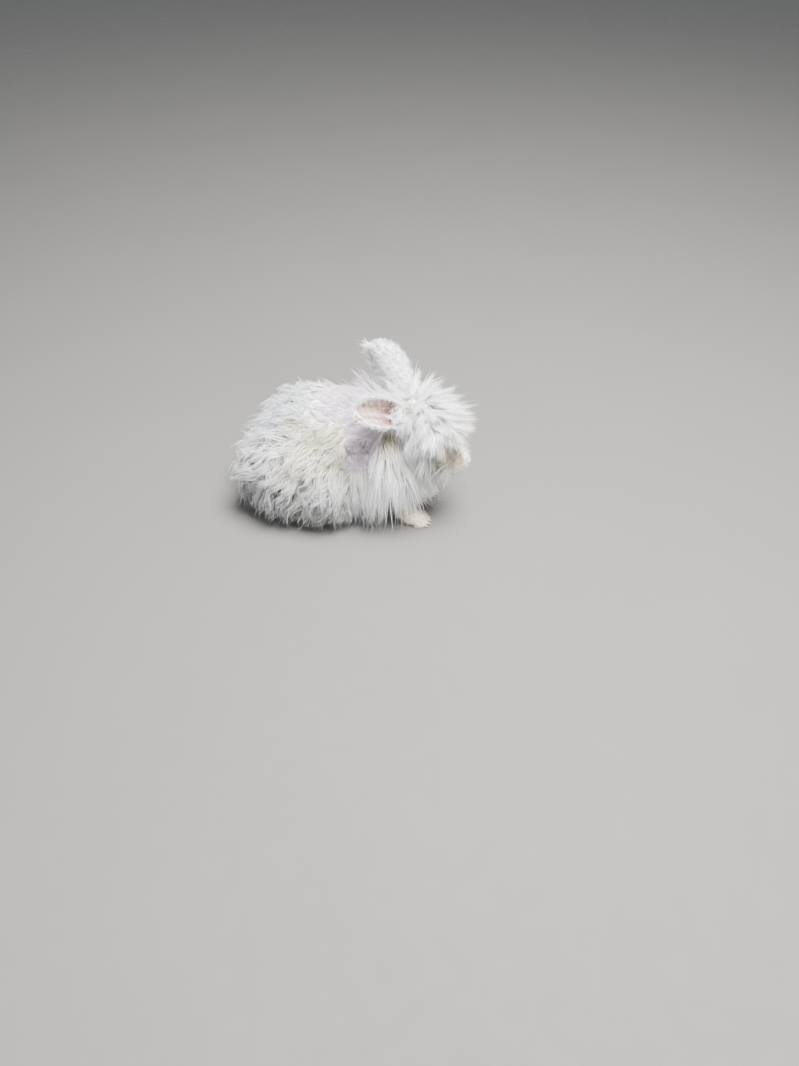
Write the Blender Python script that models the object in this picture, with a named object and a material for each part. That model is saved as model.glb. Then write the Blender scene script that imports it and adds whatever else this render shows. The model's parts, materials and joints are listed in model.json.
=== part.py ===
"""A crouching angora rabbit with its head lowered, one ear up and one ear laid back.

A still, life-size model that stands on its own four feet. +X is the way the rabbit faces, +Y is
its left side, +Z is up, and the floor is z = 0. A smooth core stands for the skin and the dense
wool close to it, and the long coat is built as flat, tapered locks that are rooted in that core.
Plane cuts with a thin gap part the body into head, neck, torso and hind legs, and the other parts
sit in sockets.
"""

import collections
import math
import random

import bmesh
import bpy
from mathutils import Matrix, Vector
from mathutils.bvhtree import BVHTree

MM = 0.001
GAP = 0.3 * MM
ALL = Vector((1, 1, 1))
ALONG = Vector((1, 0, 0))
LEFTWARD = Vector((0, 1, 0))
UP = Vector((0, 0, 1))
DOWN = Vector((0, 0, -1))
BACK = Vector((-1, 0, 0))
LEFT, RIGHT = 1, -1
SIDE_NAMES = {LEFT: "left", RIGHT: "right"}

# Place of the middle of the footprint, which becomes the origin
ORIGIN = Vector((-5.1, 0, 0)) * MM

# Bodies along a straight axis. A row is the place along the axis, the middle's height over the
# axis, the half width and the half height, in millimetres.
TORSO_ROWS = (
    (-128, 58, 0, 0),
    (-120, 62, 26, 30),
    (-104, 72, 40, 46),
    (-80, 83, 51, 59),
    (-48, 91, 56, 67),
    (-14, 96, 56, 67),
    (18, 100, 52, 62),
    (46, 102, 46, 54),
    (68, 100, 37, 43),
    (82, 96, 0, 0),
)
NECK_ROWS = (
    (0, 0, 0, 0),
    (14, 0, 32, 33),
    (40, 0, 30, 32),
    (66, -2, 25, 28),
    (88, -4, 0, 0),
)
HEAD_ROWS = (
    (0, 0, 0, 0),
    (16, 0, 22, 23),
    (36, 0, 26, 28),
    (58, -2, 24.5, 27),
    (78, -4, 20.5, 24),
    (94, -5.5, 17, 20),
    (104, -6.5, 13, 15),
    (109, -7, 0, 0),
)
THIGH_ROWS = (
    (-66, -2, 0, 0),
    (-38, 0, 23, 46),
    (0, 0, 27, 54),
    (38, -6, 23, 46),
    (66, -12, 0, 0),
)
HIND_FOOT_ROWS = (
    (-50, 10, 0, 0),
    (-40, 10, 9.5, 11),
    (0, 9.5, 11, 11),
    (34, 8, 12.5, 9.5),
    (50, 6.5, 0, 0),
)
FORELEG_ROWS = (
    (0, 0, 0, 0),
    (10, 0, 13, 15),
    (34, 0, 11.5, 12.5),
    (56, 0, 9.5, 10),
    (76, 0, 9, 9),
    (84, 0, 0, 0),
)
TAIL_ROWS = (
    (-12, 0, 0, 0),
    (2, 0, 11, 12),
    (14, 2, 11, 12),
    (25, 4, 0, 0),
)

# Where those bodies are, with pitch and yaw in degrees (pitch lowers the front)
NECK_PLACE = (Vector((6, 0, 116)) * MM, -28, 0)
HEAD_PLACE = (Vector((60, 2, 163)) * MM, 34, -16)
THIGH_PLACE = Vector((-58, 45, 72)) * MM
HIND_FOOT_PLACE = Vector((-54, 40, 0)) * MM
FORELEG_PLACE = Vector((61, 28, 86)) * MM
FORELEG_PITCH = 82
TAIL_PLACE = (Vector((-126, 0, 66)) * MM, 168, 0)

# Depth of the wool's core over the skin, and the share of it that is left on the plucked saddle
TORSO_WOOL = 8 * MM
THIGH_WOOL = 7 * MM
NECK_WOOL = 7 * MM
CROWN_WOOL = 13 * MM
SADDLE_SHARE = 0.3

# The cuts between the parts: a point on each plane and the way it faces
HEAD_CUT = (Vector((98, 0, 75)) * MM, Vector((95, 0, 48)).normalized())
NECK_CUT = 36 * MM
NECK_FLOOR = 95 * MM
THIGH_CUT_X = 8 * MM
THIGH_CUT_Y = 40 * MM
REACH = 0.5

# Feet: the middle of each row of toes, their spacing, and how far back the outer ones sit
PAW_PLACE = Vector((83, 29, 8)) * MM
PAW_RADII = Vector((16, 11, 9.5)) * MM
TOES_PLACE = Vector((96, 29, 4.6)) * MM
HIND_TOES_PLACE = Vector((-8, 40, 4.6)) * MM
TOE_RADII = Vector((7, 3.4, 5.4)) * MM
TOE_SPREAD = 5.6 * MM
TOE_ARCH = 1.2 * MM
TOE_COUNT = 4

# Ears: the root of each, the way it lies and the way its cup opens
EAR_LENGTH = 80 * MM
EAR_WALL = 2.4 * MM
EAR_PLUG = Vector((13, 9.5, 9.5)) * MM
EAR_RIDGE = 8 * MM
EAR_BEND = -4 * MM
EAR_CLEAR = 1.0 * MM
EAR_ROOT = {LEFT: Vector((67, 18, 166)) * MM, RIGHT: Vector((68, -20, 160)) * MM}
EAR_LIE = {LEFT: Vector((-0.52, 0.06, 0.84)), RIGHT: Vector((-0.48, -0.65, 0.54))}
EAR_OPENS = {LEFT: Vector((0.0, 0.95, -0.2)), RIGHT: Vector((0.55, -0.2, 0.27))}
# Share of the length, half angle of the cup in degrees, radius of the cup in millimetres
EAR_ROWS = (
    (0.0, 150, 8.0),
    (0.16, 125, 10.0),
    (0.34, 92, 14.5),
    (0.55, 74, 18.5),
    (0.74, 68, 18.0),
    (0.88, 64, 13.5),
    (0.96, 60, 8.5),
    (1.0, 50, 3.5),
)
EAR_ARC_STEPS = 6
FRINGE_WIDTH = 8 * MM

# Face, in the head's own axes from the back of the skull
EYE_RADIUS = 8.0 * MM
EYE_PLACE = Vector((61, 15.5, 4)) * MM
LID_THICKNESS = 1.5 * MM
EYE_OPENING = Vector((7.4, 30, 5.4)) * MM
LIP_PLACE = Vector((98, 6.6, -10)) * MM
LIP_RADII = Vector((10, 8, 8)) * MM
CHIN_PLACE = Vector((90, 0, -20.5)) * MM
CHIN_RADII = Vector((10, 8, 7)) * MM
MOUTH_PLACE = Vector((96, 0, -17.5)) * MM
MOUTH_RADII = Vector((14, 13, 0.7)) * MM
PHILTRUM_PLACE = Vector((107, 0, -12)) * MM
PHILTRUM_RADII = Vector((5, 0.7, 6)) * MM
NOSTRIL_PLACE = Vector((108.5, 4.6, -3)) * MM
NOSTRIL_RADII = Vector((4, 1.3, 2.4)) * MM

# Locks: the sunk root, the steps of a path, and the lift over the core from root to tip
LOCK_THICKNESS = 3.8 * MM
ROOT_DEPTH = 5 * MM
LOCK_STEPS = 10
LOCK_LIFT = (1.8 * MM, 5.0 * MM)
# Step along the lock, share of its width and share of its thickness at each ring
LOCK_RINGS = ((0, 0.55, 0.9), (3, 1.0, 1.0), (7, 0.75, 0.75))
LOCK_CLEAR = 1.2 * MM
LOCK_TRIES = 3
LEAST_ADVANCE = 0.15
MOST_TURN = math.radians(55)
FLOOR_CLEAR = 3 * MM
EYE_CLEAR = 6 * MM
CROWN = Vector((88, -4, 176)) * MM
SEED = 20

# Where the rings of roots are along each form, and the spacing of the locks in a ring
COAT_RINGS = {
    "rump": ((-124, -98, -72, -46), 20),
    "flank": ((-20, 0), 36),
    "bib": ((67, 78), 15),
    "neck": ((37, 50, 63), 26),
    "head": ((5, 20, 34, 48, 63, 80), 24),
    "thigh": ((-57, -38, -19, 0, 19, 38, 56), 36),
    "tail": ((2, 16), 15),
}
ROOT_REACH = 3 * MM
# The tail has locks only behind this place, with this length and width
TAIL_COAT_X = -138 * MM
TAIL_LOCK = (24 * MM, 12 * MM)
# Straight rows of roots on each side. A row on the neck and shoulder is its height and its first
# and last place along the body, and the row along the top of the haunch is the places themselves.
SHOULDER_ROWS = ((151, 41, 58), (129, 41, 75), (106, 15, 83), (87, 15, 75), (60, 24, 70))
SHOULDER_STEP = 17
HAUNCH_ROW = (-106, -84, -62, -40, -18, 0)
HAUNCH_ROW_INSET = 6 * MM
# A ring of roots round the crown of the head
CROWN_COUNT = 9
CROWN_RADIUS = 15 * MM
# Share of the ear's length, rim and length in millimetres, for each lock of the fringe
FRINGE = ((0.6, 0.95, 16), (0.79, 0.9, 20), (0.94, 0.6, 19))

Style = collections.namedtuple("Style", "lie length width stand droop highest")
Lock = collections.namedtuple("Lock", "places outs width twist")

WOOL_COLOUR, WOOL_ROUGHNESS = (0.88, 0.87, 0.85), 0.9
COLOURS = {"eye": (0.02, 0.015, 0.012), "ear": (0.86, 0.76, 0.73), "foreleg": (0.86, 0.8, 0.66)}
ROUGHNESS = {"eye": 0.1}


def smoothstep(low, high, value):
    """0 at low, 1 at high, and a smooth change between them."""
    t = min(1.0, max(0.0, (value - low) / (high - low)))
    return t * t * (3 - 2 * t)


def mirrored(place, side):
    return Vector((place.x, side * place.y, place.z))


def frame_of(place, pitch=0, yaw=0):
    """Local axes at a place: X forward, lowered by the pitch and turned by the yaw."""
    turn = Matrix.Rotation(math.radians(yaw), 4, "Z") @ Matrix.Rotation(math.radians(pitch), 4, "Y")
    return Matrix.Translation(place) @ turn


class Form:
    """A rounded body along the X axis of its frame, with elliptical sections."""

    def __init__(self, rows, frame, wool=0.0, share=None):
        self.rows = [tuple(value * MM for value in row) for row in rows]
        self.start, self.end = self.rows[0][0], self.rows[-1][0]
        self.frame = frame
        self.wool = wool
        self.share = share
        self.knots = [self.phase(row[0]) for row in self.rows]
        self.slopes = [self.slopes_of(column) for column in (1, 2, 3)]

    def phase(self, along):
        """The place along the body as an angle from 0 to pi, in which its ends are round."""
        share = (along - self.start) / (self.end - self.start)
        return math.acos(1 - 2 * min(1.0, max(0.0, share)))

    def slopes_of(self, column):
        values = [row[column] for row in self.rows]
        steps = [
            (values[i + 1] - values[i]) / (self.knots[i + 1] - self.knots[i])
            for i in range(len(values) - 1)
        ]
        inner = [(steps[i] + steps[i + 1]) / 2 for i in range(len(steps) - 1)]
        first = 1.5 * steps[0] - 0.5 * inner[0]
        last = 1.5 * steps[-1] - 0.5 * inner[-1]
        return [first, *inner, last]

    def section(self, along):
        """Middle height, half width and half height at a place along the body."""
        phase = self.phase(along)
        i = 0
        while i < len(self.knots) - 2 and phase > self.knots[i + 1]:
            i += 1
        width = self.knots[i + 1] - self.knots[i]
        t = min(1.0, max(0.0, (phase - self.knots[i]) / width))
        found = []
        for column, slopes in zip((1, 2, 3), self.slopes):
            low, high = self.rows[i][column], self.rows[i + 1][column]
            found.append(
                (2 * t**3 - 3 * t**2 + 1) * low
                + (t**3 - 2 * t**2 + t) * width * slopes[i]
                + (3 * t**2 - 2 * t**3) * high
                + (t**3 - t**2) * width * slopes[i + 1]
            )
        return found[0], max(0.0, found[1]), max(0.0, found[2])

    def point(self, along, turn):
        """A point of the core. A turn of 0 is the top, and 90 degrees is the left side."""
        middle, wide, high = self.section(along)
        deep = self.wool * (self.share(along / MM, turn) if self.share else 1.0)
        centre = (self.start + self.end) / 2
        grown = 1 + deep * 2 / (self.end - self.start)
        angle = math.radians(turn)
        local = Vector(
            (
                centre + (along - centre) * grown,
                (wide + deep * min(1.0, wide / (12 * MM))) * math.sin(angle),
                middle + (high + deep * min(1.0, high / (12 * MM))) * math.cos(angle),
            )
        )
        return self.frame @ local

    def body(self, name, count, sides):
        """The core as a closed mesh, with its rings closer together at its round ends."""
        rings = []
        for i in range(1, count):
            along = self.start + (1 - math.cos(math.pi * i / count)) / 2 * (self.end - self.start)
            rings.append([self.point(along, 360 * k / sides) for k in range(sides)])
        return loft(name, rings, (self.point(self.start, 0), self.point(self.end, 0)))


def saddle_share(along, turn):
    """The share of the wool on the torso. It is plucked short on the saddle and shoulders."""
    turn = abs((turn + 180) % 360 - 180)
    saddle = smoothstep(-34, -6, along) * (1 - smoothstep(50, 66, along))
    return 1 - (1 - SADDLE_SHARE) * saddle * (1 - smoothstep(64, 92, turn))


def crown_share(along, turn):
    """The share of the wool on the head. It is deep over the skull, and the face is bare."""
    return 1 - smoothstep(34, 60, along)


def thigh_form(side):
    return Form(THIGH_ROWS, frame_of(mirrored(THIGH_PLACE, side)), THIGH_WOOL)


def hind_foot_form(side, grown=0.0):
    return Form(HIND_FOOT_ROWS, frame_of(mirrored(HIND_FOOT_PLACE, side)), grown)


def foreleg_form(side, grown=0.0):
    return Form(FORELEG_ROWS, frame_of(mirrored(FORELEG_PLACE, side), FORELEG_PITCH), grown)


def tail_form(wool):
    return Form(TAIL_ROWS, frame_of(*TAIL_PLACE), wool)


TORSO = Form(TORSO_ROWS, Matrix.Identity(4), TORSO_WOOL, saddle_share)
NECK = Form(NECK_ROWS, frame_of(*NECK_PLACE), NECK_WOOL)
HEAD = Form(HEAD_ROWS, frame_of(*HEAD_PLACE), CROWN_WOOL, crown_share)
THIGH = {side: thigh_form(side) for side in (LEFT, RIGHT)}
HEAD_TURN = HEAD.frame.to_3x3().to_4x4()
CUT_FRAME = Matrix.Translation(HEAD_CUT[0]) @ HEAD_CUT[1].to_track_quat("X", "Z").to_matrix().to_4x4()


def link_mesh(name, work):
    """A new object in the scene from a bmesh, with its faces turned out."""
    bmesh.ops.triangulate(work, faces=work.faces)
    bmesh.ops.recalc_face_normals(work, faces=work.faces)
    mesh = bpy.data.meshes.new(name)
    work.to_mesh(mesh)
    work.free()
    made = bpy.data.objects.new(name, mesh)
    bpy.context.scene.collection.objects.link(made)
    return made


def loft(name, rings, tips=(None, None)):
    """A closed skin over rings of points, drawn to a point or capped at each end."""
    work = bmesh.new()
    rows = [[work.verts.new(point) for point in ring] for ring in rings]
    sides = len(rings[0])
    for low, high in zip(rows, rows[1:]):
        for k in range(sides):
            work.faces.new((low[k], low[(k + 1) % sides], high[(k + 1) % sides], high[k]))
    for tip, row in zip(tips, (rows[0], rows[-1])):
        if tip is None:
            work.faces.new(row)
            continue
        end = work.verts.new(tip)
        for k in range(sides):
            work.faces.new((end, row[k], row[(k + 1) % sides]))
    return link_mesh(name, work)


def ball(name, centre, radii, turn=None, sides=12, rows=8):
    """An ellipsoid, with its radii along the axes of a turned frame."""
    work = bmesh.new()
    place = Matrix.Translation(centre) @ (turn or Matrix.Identity(4)) @ Matrix.Diagonal((*radii, 1))
    bmesh.ops.create_uvsphere(work, u_segments=sides, v_segments=rows, radius=1.0, matrix=place)
    return link_mesh(name, work)


def block(name, low, high, frame=None):
    """A box between two corners, in a turned frame."""
    work = bmesh.new()
    low, high = Vector(low), Vector(high)
    scale = Matrix.Diagonal((*(high - low), 1))
    place = (frame or Matrix.Identity(4)) @ Matrix.Translation((low + high) / 2) @ scale
    bmesh.ops.create_cube(work, size=1.0, matrix=place)
    return link_mesh(name, work)


def applied(obj):
    """Makes the object's evaluated mesh its own, with no modifiers left."""
    bpy.context.view_layer.update()
    graph = bpy.context.evaluated_depsgraph_get()
    mesh = bpy.data.meshes.new_from_object(obj.evaluated_get(graph))
    obj.modifiers.clear()
    obj.data = mesh
    return obj


def combine(obj, others, operation):
    """One Boolean with a whole collection of closed meshes, which are then removed."""
    group = bpy.data.collections.new(obj.name + "_pieces")
    bpy.context.scene.collection.children.link(group)
    for other in others:
        bpy.context.scene.collection.objects.unlink(other)
        group.objects.link(other)
    modifier = obj.modifiers.new(operation.lower(), "BOOLEAN")
    modifier.operation = operation
    modifier.operand_type = "COLLECTION"
    modifier.collection = group
    modifier.solver = "MANIFOLD"
    applied(obj)
    for other in others:
        bpy.data.objects.remove(other)
    bpy.data.collections.remove(group)
    return obj


def keep_largest(obj):
    """Drops every closed surface but the one with the most volume."""
    work = bmesh.new()
    work.from_mesh(obj.data)
    bmesh.ops.triangulate(work, faces=work.faces)
    left = set(work.faces)
    shells = []
    while left:
        shell, todo = set(), [left.pop()]
        while todo:
            face = todo.pop()
            shell.add(face)
            near = {f for e in face.edges if len(e.link_faces) == 2 for f in e.link_faces} & left
            left -= near
            todo.extend(near)
        shells.append(shell)
    size = [
        sum(f.verts[0].co.dot(f.verts[1].co.cross(f.verts[2].co)) for f in shell)
        for shell in shells
    ]
    largest = shells[size.index(max(size))]
    bmesh.ops.delete(work, geom=[f for f in work.faces if f not in largest], context="FACES")
    bmesh.ops.delete(work, geom=[v for v in work.verts if not v.link_faces], context="VERTS")
    work.to_mesh(obj.data)
    work.free()
    return obj


def material(name, colour, roughness):
    made = bpy.data.materials.new(name)
    made.use_nodes = True
    shader = made.node_tree.nodes["Principled BSDF"]
    shader.inputs["Base Color"].default_value = (*colour, 1.0)
    shader.inputs["Roughness"].default_value = roughness
    shader.inputs["Metallic"].default_value = 0.0
    made.diffuse_color = (*colour, 1.0)
    return made


def finish(obj, parts, colour, roughness=0.9):
    """Makes a node of an object: one closed surface, its own material and its final place."""
    keep_largest(obj)
    obj.data.materials.clear()
    obj.data.materials.append(material(obj.name, colour, roughness))
    obj.location = -ORIGIN
    bpy.context.scene.collection.objects.unlink(obj)
    parts.objects.link(obj)


def build_core():
    """Torso, neck, head and thighs as one closed surface."""
    core = TORSO.body("core", 15, 20)
    pieces = [NECK.body("neck_core", 8, 14), HEAD.body("head_core", 14, 16)]
    pieces += [THIGH[side].body("thigh_core", 9, 14) for side in (LEFT, RIGHT)]
    return keep_largest(combine(core, pieces, "UNION"))


def surface_of(obj):
    work = bmesh.new()
    work.from_mesh(obj.data)
    tree = BVHTree.FromBMesh(work)
    work.free()
    return tree


def part_at(place):
    """The part whose share of the core holds a place."""
    if (place - HEAD_CUT[0]).dot(HEAD_CUT[1]) > 0:
        return "head"
    if place.x > NECK_CUT and place.z > NECK_FLOOR:
        return "neck"
    if place.x < THIGH_CUT_X and abs(place.y) > THIGH_CUT_Y:
        return "hindleg_" + SIDE_NAMES[LEFT if place.y > 0 else RIGHT]
    return "torso"


def walls_of(part, root):
    """The planes that keep a lock inside its part: a point on each and the way in."""
    point, ahead = HEAD_CUT
    side = LEFT if root.y > 0 else RIGHT
    beside = (LEFTWARD * side * THIGH_CUT_Y, LEFTWARD * side)
    if part == "head":
        return [(point, ahead)]
    if part == "neck":
        return [(point, -ahead), (ALONG * NECK_CUT, ALONG), (UP * NECK_FLOOR, UP)]
    if part != "torso":
        return [beside, (ALONG * THIGH_CUT_X, BACK)]
    if root.x < THIGH_CUT_X:
        return [(beside[0], -beside[1])]
    walls = [(point, -ahead), (ALONG * THIGH_CUT_X, ALONG)]
    walls.append((UP * NECK_FLOOR, DOWN) if root.z < NECK_FLOOR else (ALONG * NECK_CUT, BACK))
    return walls


def head_style(place, out):
    """Hair that bursts out from the crown over the eyes and cheeks, and a short beard."""
    local = HEAD.frame.inverted() @ place / MM
    if local.x > 74 and local.z > -14 or local.x > 88:
        return None
    if local.z < -14:
        return Style(DOWN + BACK * 0.3, 34, 16, 0.35, 0.05, 20)
    away = (place - CROWN).normalized()
    top = smoothstep(0.3, 0.9, out.z)
    front = top * smoothstep(0.1, 0.7, away.x)
    lie = away + DOWN * 0.35 * (1 - front)
    far = top * smoothstep(0.0, 0.8, away.y)
    length = min(50 - 12 * top - 10 * far, 18 + 1.3 * (84 - local.x))
    return Style(lie, length, 17, 0.5 + 0.55 * top, 0.13 - 0.05 * top, 42)


def body_style(part, place, out):
    """Long locks that hang to the floor at the shoulders, and shorter ones over the rump."""
    x, y, z = place / MM
    hang = z - 4
    if part == "neck":
        nape = smoothstep(0.3, 0.9, out.z)
        reach = 1.15 * (z - NECK_FLOOR / MM) + 12
        if reach < 18:
            return None
        reach = min(56 - 12 * nape, reach)
        lie = BACK * (0.4 + nape) + DOWN * (1 - nape)
        return Style(lie, reach, 18, 0.3 + 0.9 * nape, 0.13 - 0.07 * nape, 24 + 12 * nape)
    if part != "torso":
        low = smoothstep(110, 40, z)
        if out.z < -0.6 or z < 24:
            return None
        return Style(DOWN + BACK * (0.75 - 0.4 * low), min(60, hang), 20, 0.22, 0.06, 15)
    if x < THIGH_CUT_X / MM:
        rear = smoothstep(-70, -120, x)
        if x > -34 and out.z > 0.3 or out.z < -0.3:
            return None
        lie = BACK + DOWN * (0.5 + 0.9 * rear)
        return Style(lie, min(44 + 6 * rear, hang), 19, 0.22 + 0.12 * rear, 0.07, 12 + 6 * rear)
    if z > 112 or out.z < -0.75:
        return None
    front = smoothstep(56, 80, x)
    reach = min(96, hang - 12 * front)
    return Style(DOWN - BACK * 0.15 * front, reach, 20, 0.28, 0.12, 30)


def inside_walls(place, walls, margin):
    """The place, moved so that it is a margin inside every wall."""
    for point, inward in walls:
        depth = (place - point).dot(inward)
        if depth < margin:
            place = place + inward * (margin - depth)
    return place


def grow_lock(surface, drape, start, style, walls, rng):
    """The path of a lock. It leaves the surface by its lie, droops, and lies over the drape."""
    length = style.length * MM * rng.uniform(0.85, 1.15)
    width = style.width * MM * rng.uniform(0.85, 1.15)
    sway = rng.uniform(-0.18, 0.18)
    root, out, _, _ = surface.find_nearest(inside_walls(start, walls, width * 0.3))
    along = (style.lie - out * style.lie.dot(out)).normalized()
    across = along.cross(out)
    heading = (along + out * style.stand).normalized()
    place = root
    places, outs = [root - out * ROOT_DEPTH - along * 2 * MM], [out]
    for i in range(1, LOCK_STEPS + 1):
        share = i / LOCK_STEPS
        turn = DOWN * style.droop + across * sway * math.cos(math.pi * share)
        target = place + (heading + turn).normalized() * length / LOCK_STEPS
        near, normal, _, _ = drape.find_nearest(target)
        lift = LOCK_LIFT[0] + (LOCK_LIFT[1] - LOCK_LIFT[0]) * share
        height = (target - near).dot(normal)
        if not lift < height < style.highest * MM:
            target = near + normal * min(max(height, lift), style.highest * MM)
        target = inside_walls(target, walls, width / 2 * (1 - share * 0.8))
        for side in (LEFT, RIGHT):
            eye = HEAD.frame @ mirrored(EYE_PLACE, side)
            if (target - eye).length < EYE_RADIUS + EYE_CLEAR:
                target = eye + (target - eye).normalized() * (EYE_RADIUS + EYE_CLEAR)
        target.z = max(target.z, FLOOR_CLEAR)
        heading = (target - place).normalized()
        place = target
        places.append(place)
        outs.append(normal)
    return Lock(places, outs, width, math.radians(rng.uniform(-22, 22)))


def lock_body(lock, grown=0.0):
    """A flat blade with a low ridge that tapers to a point, larger all round by the growth."""
    rings = []
    for step, wide, thick in LOCK_RINGS:
        ahead = (lock.places[step + 1] - lock.places[max(step - 1, 0)]).normalized()
        place = lock.places[step] - ahead * (0 if step else grown)
        side = ahead.cross(lock.outs[step]).normalized()
        side.rotate(Matrix.Rotation(lock.twist * step / LOCK_STEPS, 3, ahead))
        over = side.cross(ahead)
        half = side * (lock.width * wide / 2 + 2 * grown)
        high = LOCK_THICKNESS * thick
        low = over * (-0.35 * high - grown)
        rings.append([place + half + low, place + over * (0.65 * high + grown), place - half + low])
    tip = lock.places[-1] + (lock.places[-1] - lock.places[-2]).normalized() * grown * 2
    return loft("lock", rings, (None, tip))


def folded(lock, grown=0.0):
    """Whether a bend or a twist is so tight that the lock passes through itself."""
    body = lock_body(lock, grown)
    tree = surface_of(body)
    corners = [vertex.co.copy() for vertex in body.data.vertices]
    faces = [set(face.vertices) for face in body.data.polygons]
    bpy.data.objects.remove(body)
    rings = [corners[i : i + 3] for i in range(0, len(corners) - 1, 3)]
    for low, high in zip(rings, rings[1:]):
        steps = [b - a for a, b in zip(low, high)]
        ahead = sum(steps, Vector()) / len(steps)
        if min(step.dot(ahead) for step in steps) < LEAST_ADVANCE * ahead.length_squared:
            return True
        if (low[0] - low[2]).angle(high[0] - high[2]) > MOST_TURN:
            return True
    return any(not faces[a] & faces[b] for a, b in tree.overlap(tree))


def ring_roots(form, kind, rng):
    """Places for roots in staggered rings round a form."""
    rows, spacing = COAT_RINGS[kind]
    for i, along in enumerate(rows):
        ring = [form.point(along * MM, turn) for turn in range(0, 360, 10)]
        girth = sum((a - b).length for a, b in zip(ring, ring[1:] + ring[:1]))
        count = max(4, round(girth / (spacing * MM)))
        for k in range(count):
            turn = 360 * (k + i % 2 / 2 + rng.uniform(-0.15, 0.15)) / count
            yield form.point((along + rng.uniform(-2.5, 2.5)) * MM, turn)


def row_roots(surface):
    """Places for roots in rows on the shoulders and haunches, and round the crown."""
    for side in (LEFT, RIGHT):
        inward = LEFTWARD * -side
        for i, (height, first, last) in enumerate(SHOULDER_ROWS):
            for along in range(first, last + 1, SHOULDER_STEP):
                beside = Vector((along + i % 2 * 3, 0, height)) * MM - inward * REACH
                yield surface.ray_cast(beside, inward)[0]
        for along in HAUNCH_ROW:
            over = Vector((along * MM, side * (THIGH_CUT_Y + HAUNCH_ROW_INSET), REACH))
            yield surface.ray_cast(over, DOWN)[0]
    for k in range(CROWN_COUNT):
        turn = Matrix.Rotation(2 * math.pi * k / CROWN_COUNT, 3, "Z")
        over = CROWN + turn @ (ALONG * CROWN_RADIUS) + UP * REACH
        yield surface.ray_cast(over, DOWN)[0]


def grow_coat(core):
    """All locks on the core, by part."""
    surface = surface_of(core)
    legs = [foreleg_form(side, GAP).body("leg", 7, 8) for side in (LEFT, RIGHT)]
    draped = combine(copy_of(core, "draped"), legs, "UNION")
    drape = surface_of(draped)
    bpy.data.objects.remove(draped)
    rng = random.Random(SEED)
    forms = [(TORSO, "rump"), (TORSO, "flank"), (TORSO, "bib"), (NECK, "neck"), (HEAD, "head")]
    forms += [(THIGH[LEFT], "thigh"), (THIGH[RIGHT], "thigh")]
    roots = [place for form, kind in forms for place in ring_roots(form, kind, rng)]
    roots += row_roots(surface)
    grown = collections.defaultdict(list)
    for place in roots:
        root, out, _, away = surface.find_nearest(place)
        part = part_at(root)
        style = head_style(root, out) if part == "head" else body_style(part, root, out)
        if away < ROOT_REACH and style is not None:
            walls = walls_of(part, root)
            for _ in range(LOCK_TRIES):
                lock = grow_lock(surface, drape, root, style, walls, rng)
                if not folded(lock):
                    grown[part].append(lock)
                    break
    return grown


def grow_tail_coat():
    """Locks on the back of the tail, which leave it at once and stay clear of it."""
    tail = tail_form(0.0).body("tail_surface", 7, 10)
    surface = surface_of(tail)
    bpy.data.objects.remove(tail)
    rng = random.Random(SEED + 1)
    grown = []
    for start in ring_roots(tail_form(0.0), "tail", rng):
        root, out, _, _ = surface.find_nearest(start)
        if root.x > TAIL_COAT_X:
            continue
        heading = (BACK + out * 0.3).normalized()
        step = TAIL_LOCK[0] * rng.uniform(0.85, 1.15) / LOCK_STEPS
        places = [root - out * ROOT_DEPTH]
        for _ in range(LOCK_STEPS):
            places.append(places[-1] + heading * step)
            heading = (heading + DOWN * 0.12).normalized()
        lock = Lock(places, [out] * len(places), TAIL_LOCK[1], 0.0)
        if not folded(lock) and not folded(lock, LOCK_CLEAR):
            grown.append(lock)
    return grown


def grow_fringe(side):
    """Locks along the rims of an ear and at its tip."""
    frame = ear_frame(side)
    turn = frame.to_3x3()
    grown = []
    for share, rim, length in FRINGE:
        half_angle, radius = ear_row(share)
        root = ear_point(share, radius, half_angle, -side * rim, EAR_WALL / 2)
        heading = Vector((1.0, -0.5 * side * rim, -0.1)).normalized()
        places = [root - heading * 5 * MM]
        for i in range(LOCK_STEPS):
            heading = (heading + turn.inverted() @ DOWN * 0.14).normalized()
            places.append(places[-1] + heading * (length * MM + 5 * MM) / LOCK_STEPS)
        outs = [turn @ Vector((0, 0, -1))] * len(places)
        grown.append(Lock([frame @ place for place in places], outs, FRINGE_WIDTH, 0.0))
    return grown


def copy_of(core, name):
    made = core.copy()
    made.data = core.data.copy()
    made.name = made.data.name = name
    bpy.context.scene.collection.objects.link(made)
    return made


def carved(obj, pieces, cutters):
    """Joins the pieces to an object, and then cuts it."""
    return combine(combine(obj, list(pieces), "UNION"), cutters, "DIFFERENCE")


def ear_frame(side):
    """Axes at the root of an ear: X along it and Z the way its cup opens."""
    along = EAR_LIE[side].normalized()
    opens = (EAR_OPENS[side] - along * EAR_OPENS[side].dot(along)).normalized()
    turn = Matrix((along, opens.cross(along), opens)).transposed().to_4x4()
    return Matrix.Translation(EAR_ROOT[side]) @ turn


def ear_point(share, radius, half_angle, turn, deep):
    """A point on the cup, in the ear's axes. A turn of -1 or 1 is a rim, and 0 is the back."""
    angle = math.radians(half_angle) * turn
    bend = EAR_BEND * share**2
    centre = radius - EAR_RIDGE
    inner = radius - deep
    return Vector(
        (EAR_LENGTH * share, inner * math.sin(angle), bend + centre - inner * math.cos(angle))
    )


def ear_row(share):
    """Half angle and radius of the cup at a share of the ear's length."""
    for low, high in zip(EAR_ROWS, EAR_ROWS[1:]):
        if share <= high[0]:
            t = (share - low[0]) / (high[0] - low[0])
            return low[1] + (high[1] - low[1]) * t, (low[2] + (high[2] - low[2]) * t) * MM
    return EAR_ROWS[-1][1], EAR_ROWS[-1][2] * MM


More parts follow.
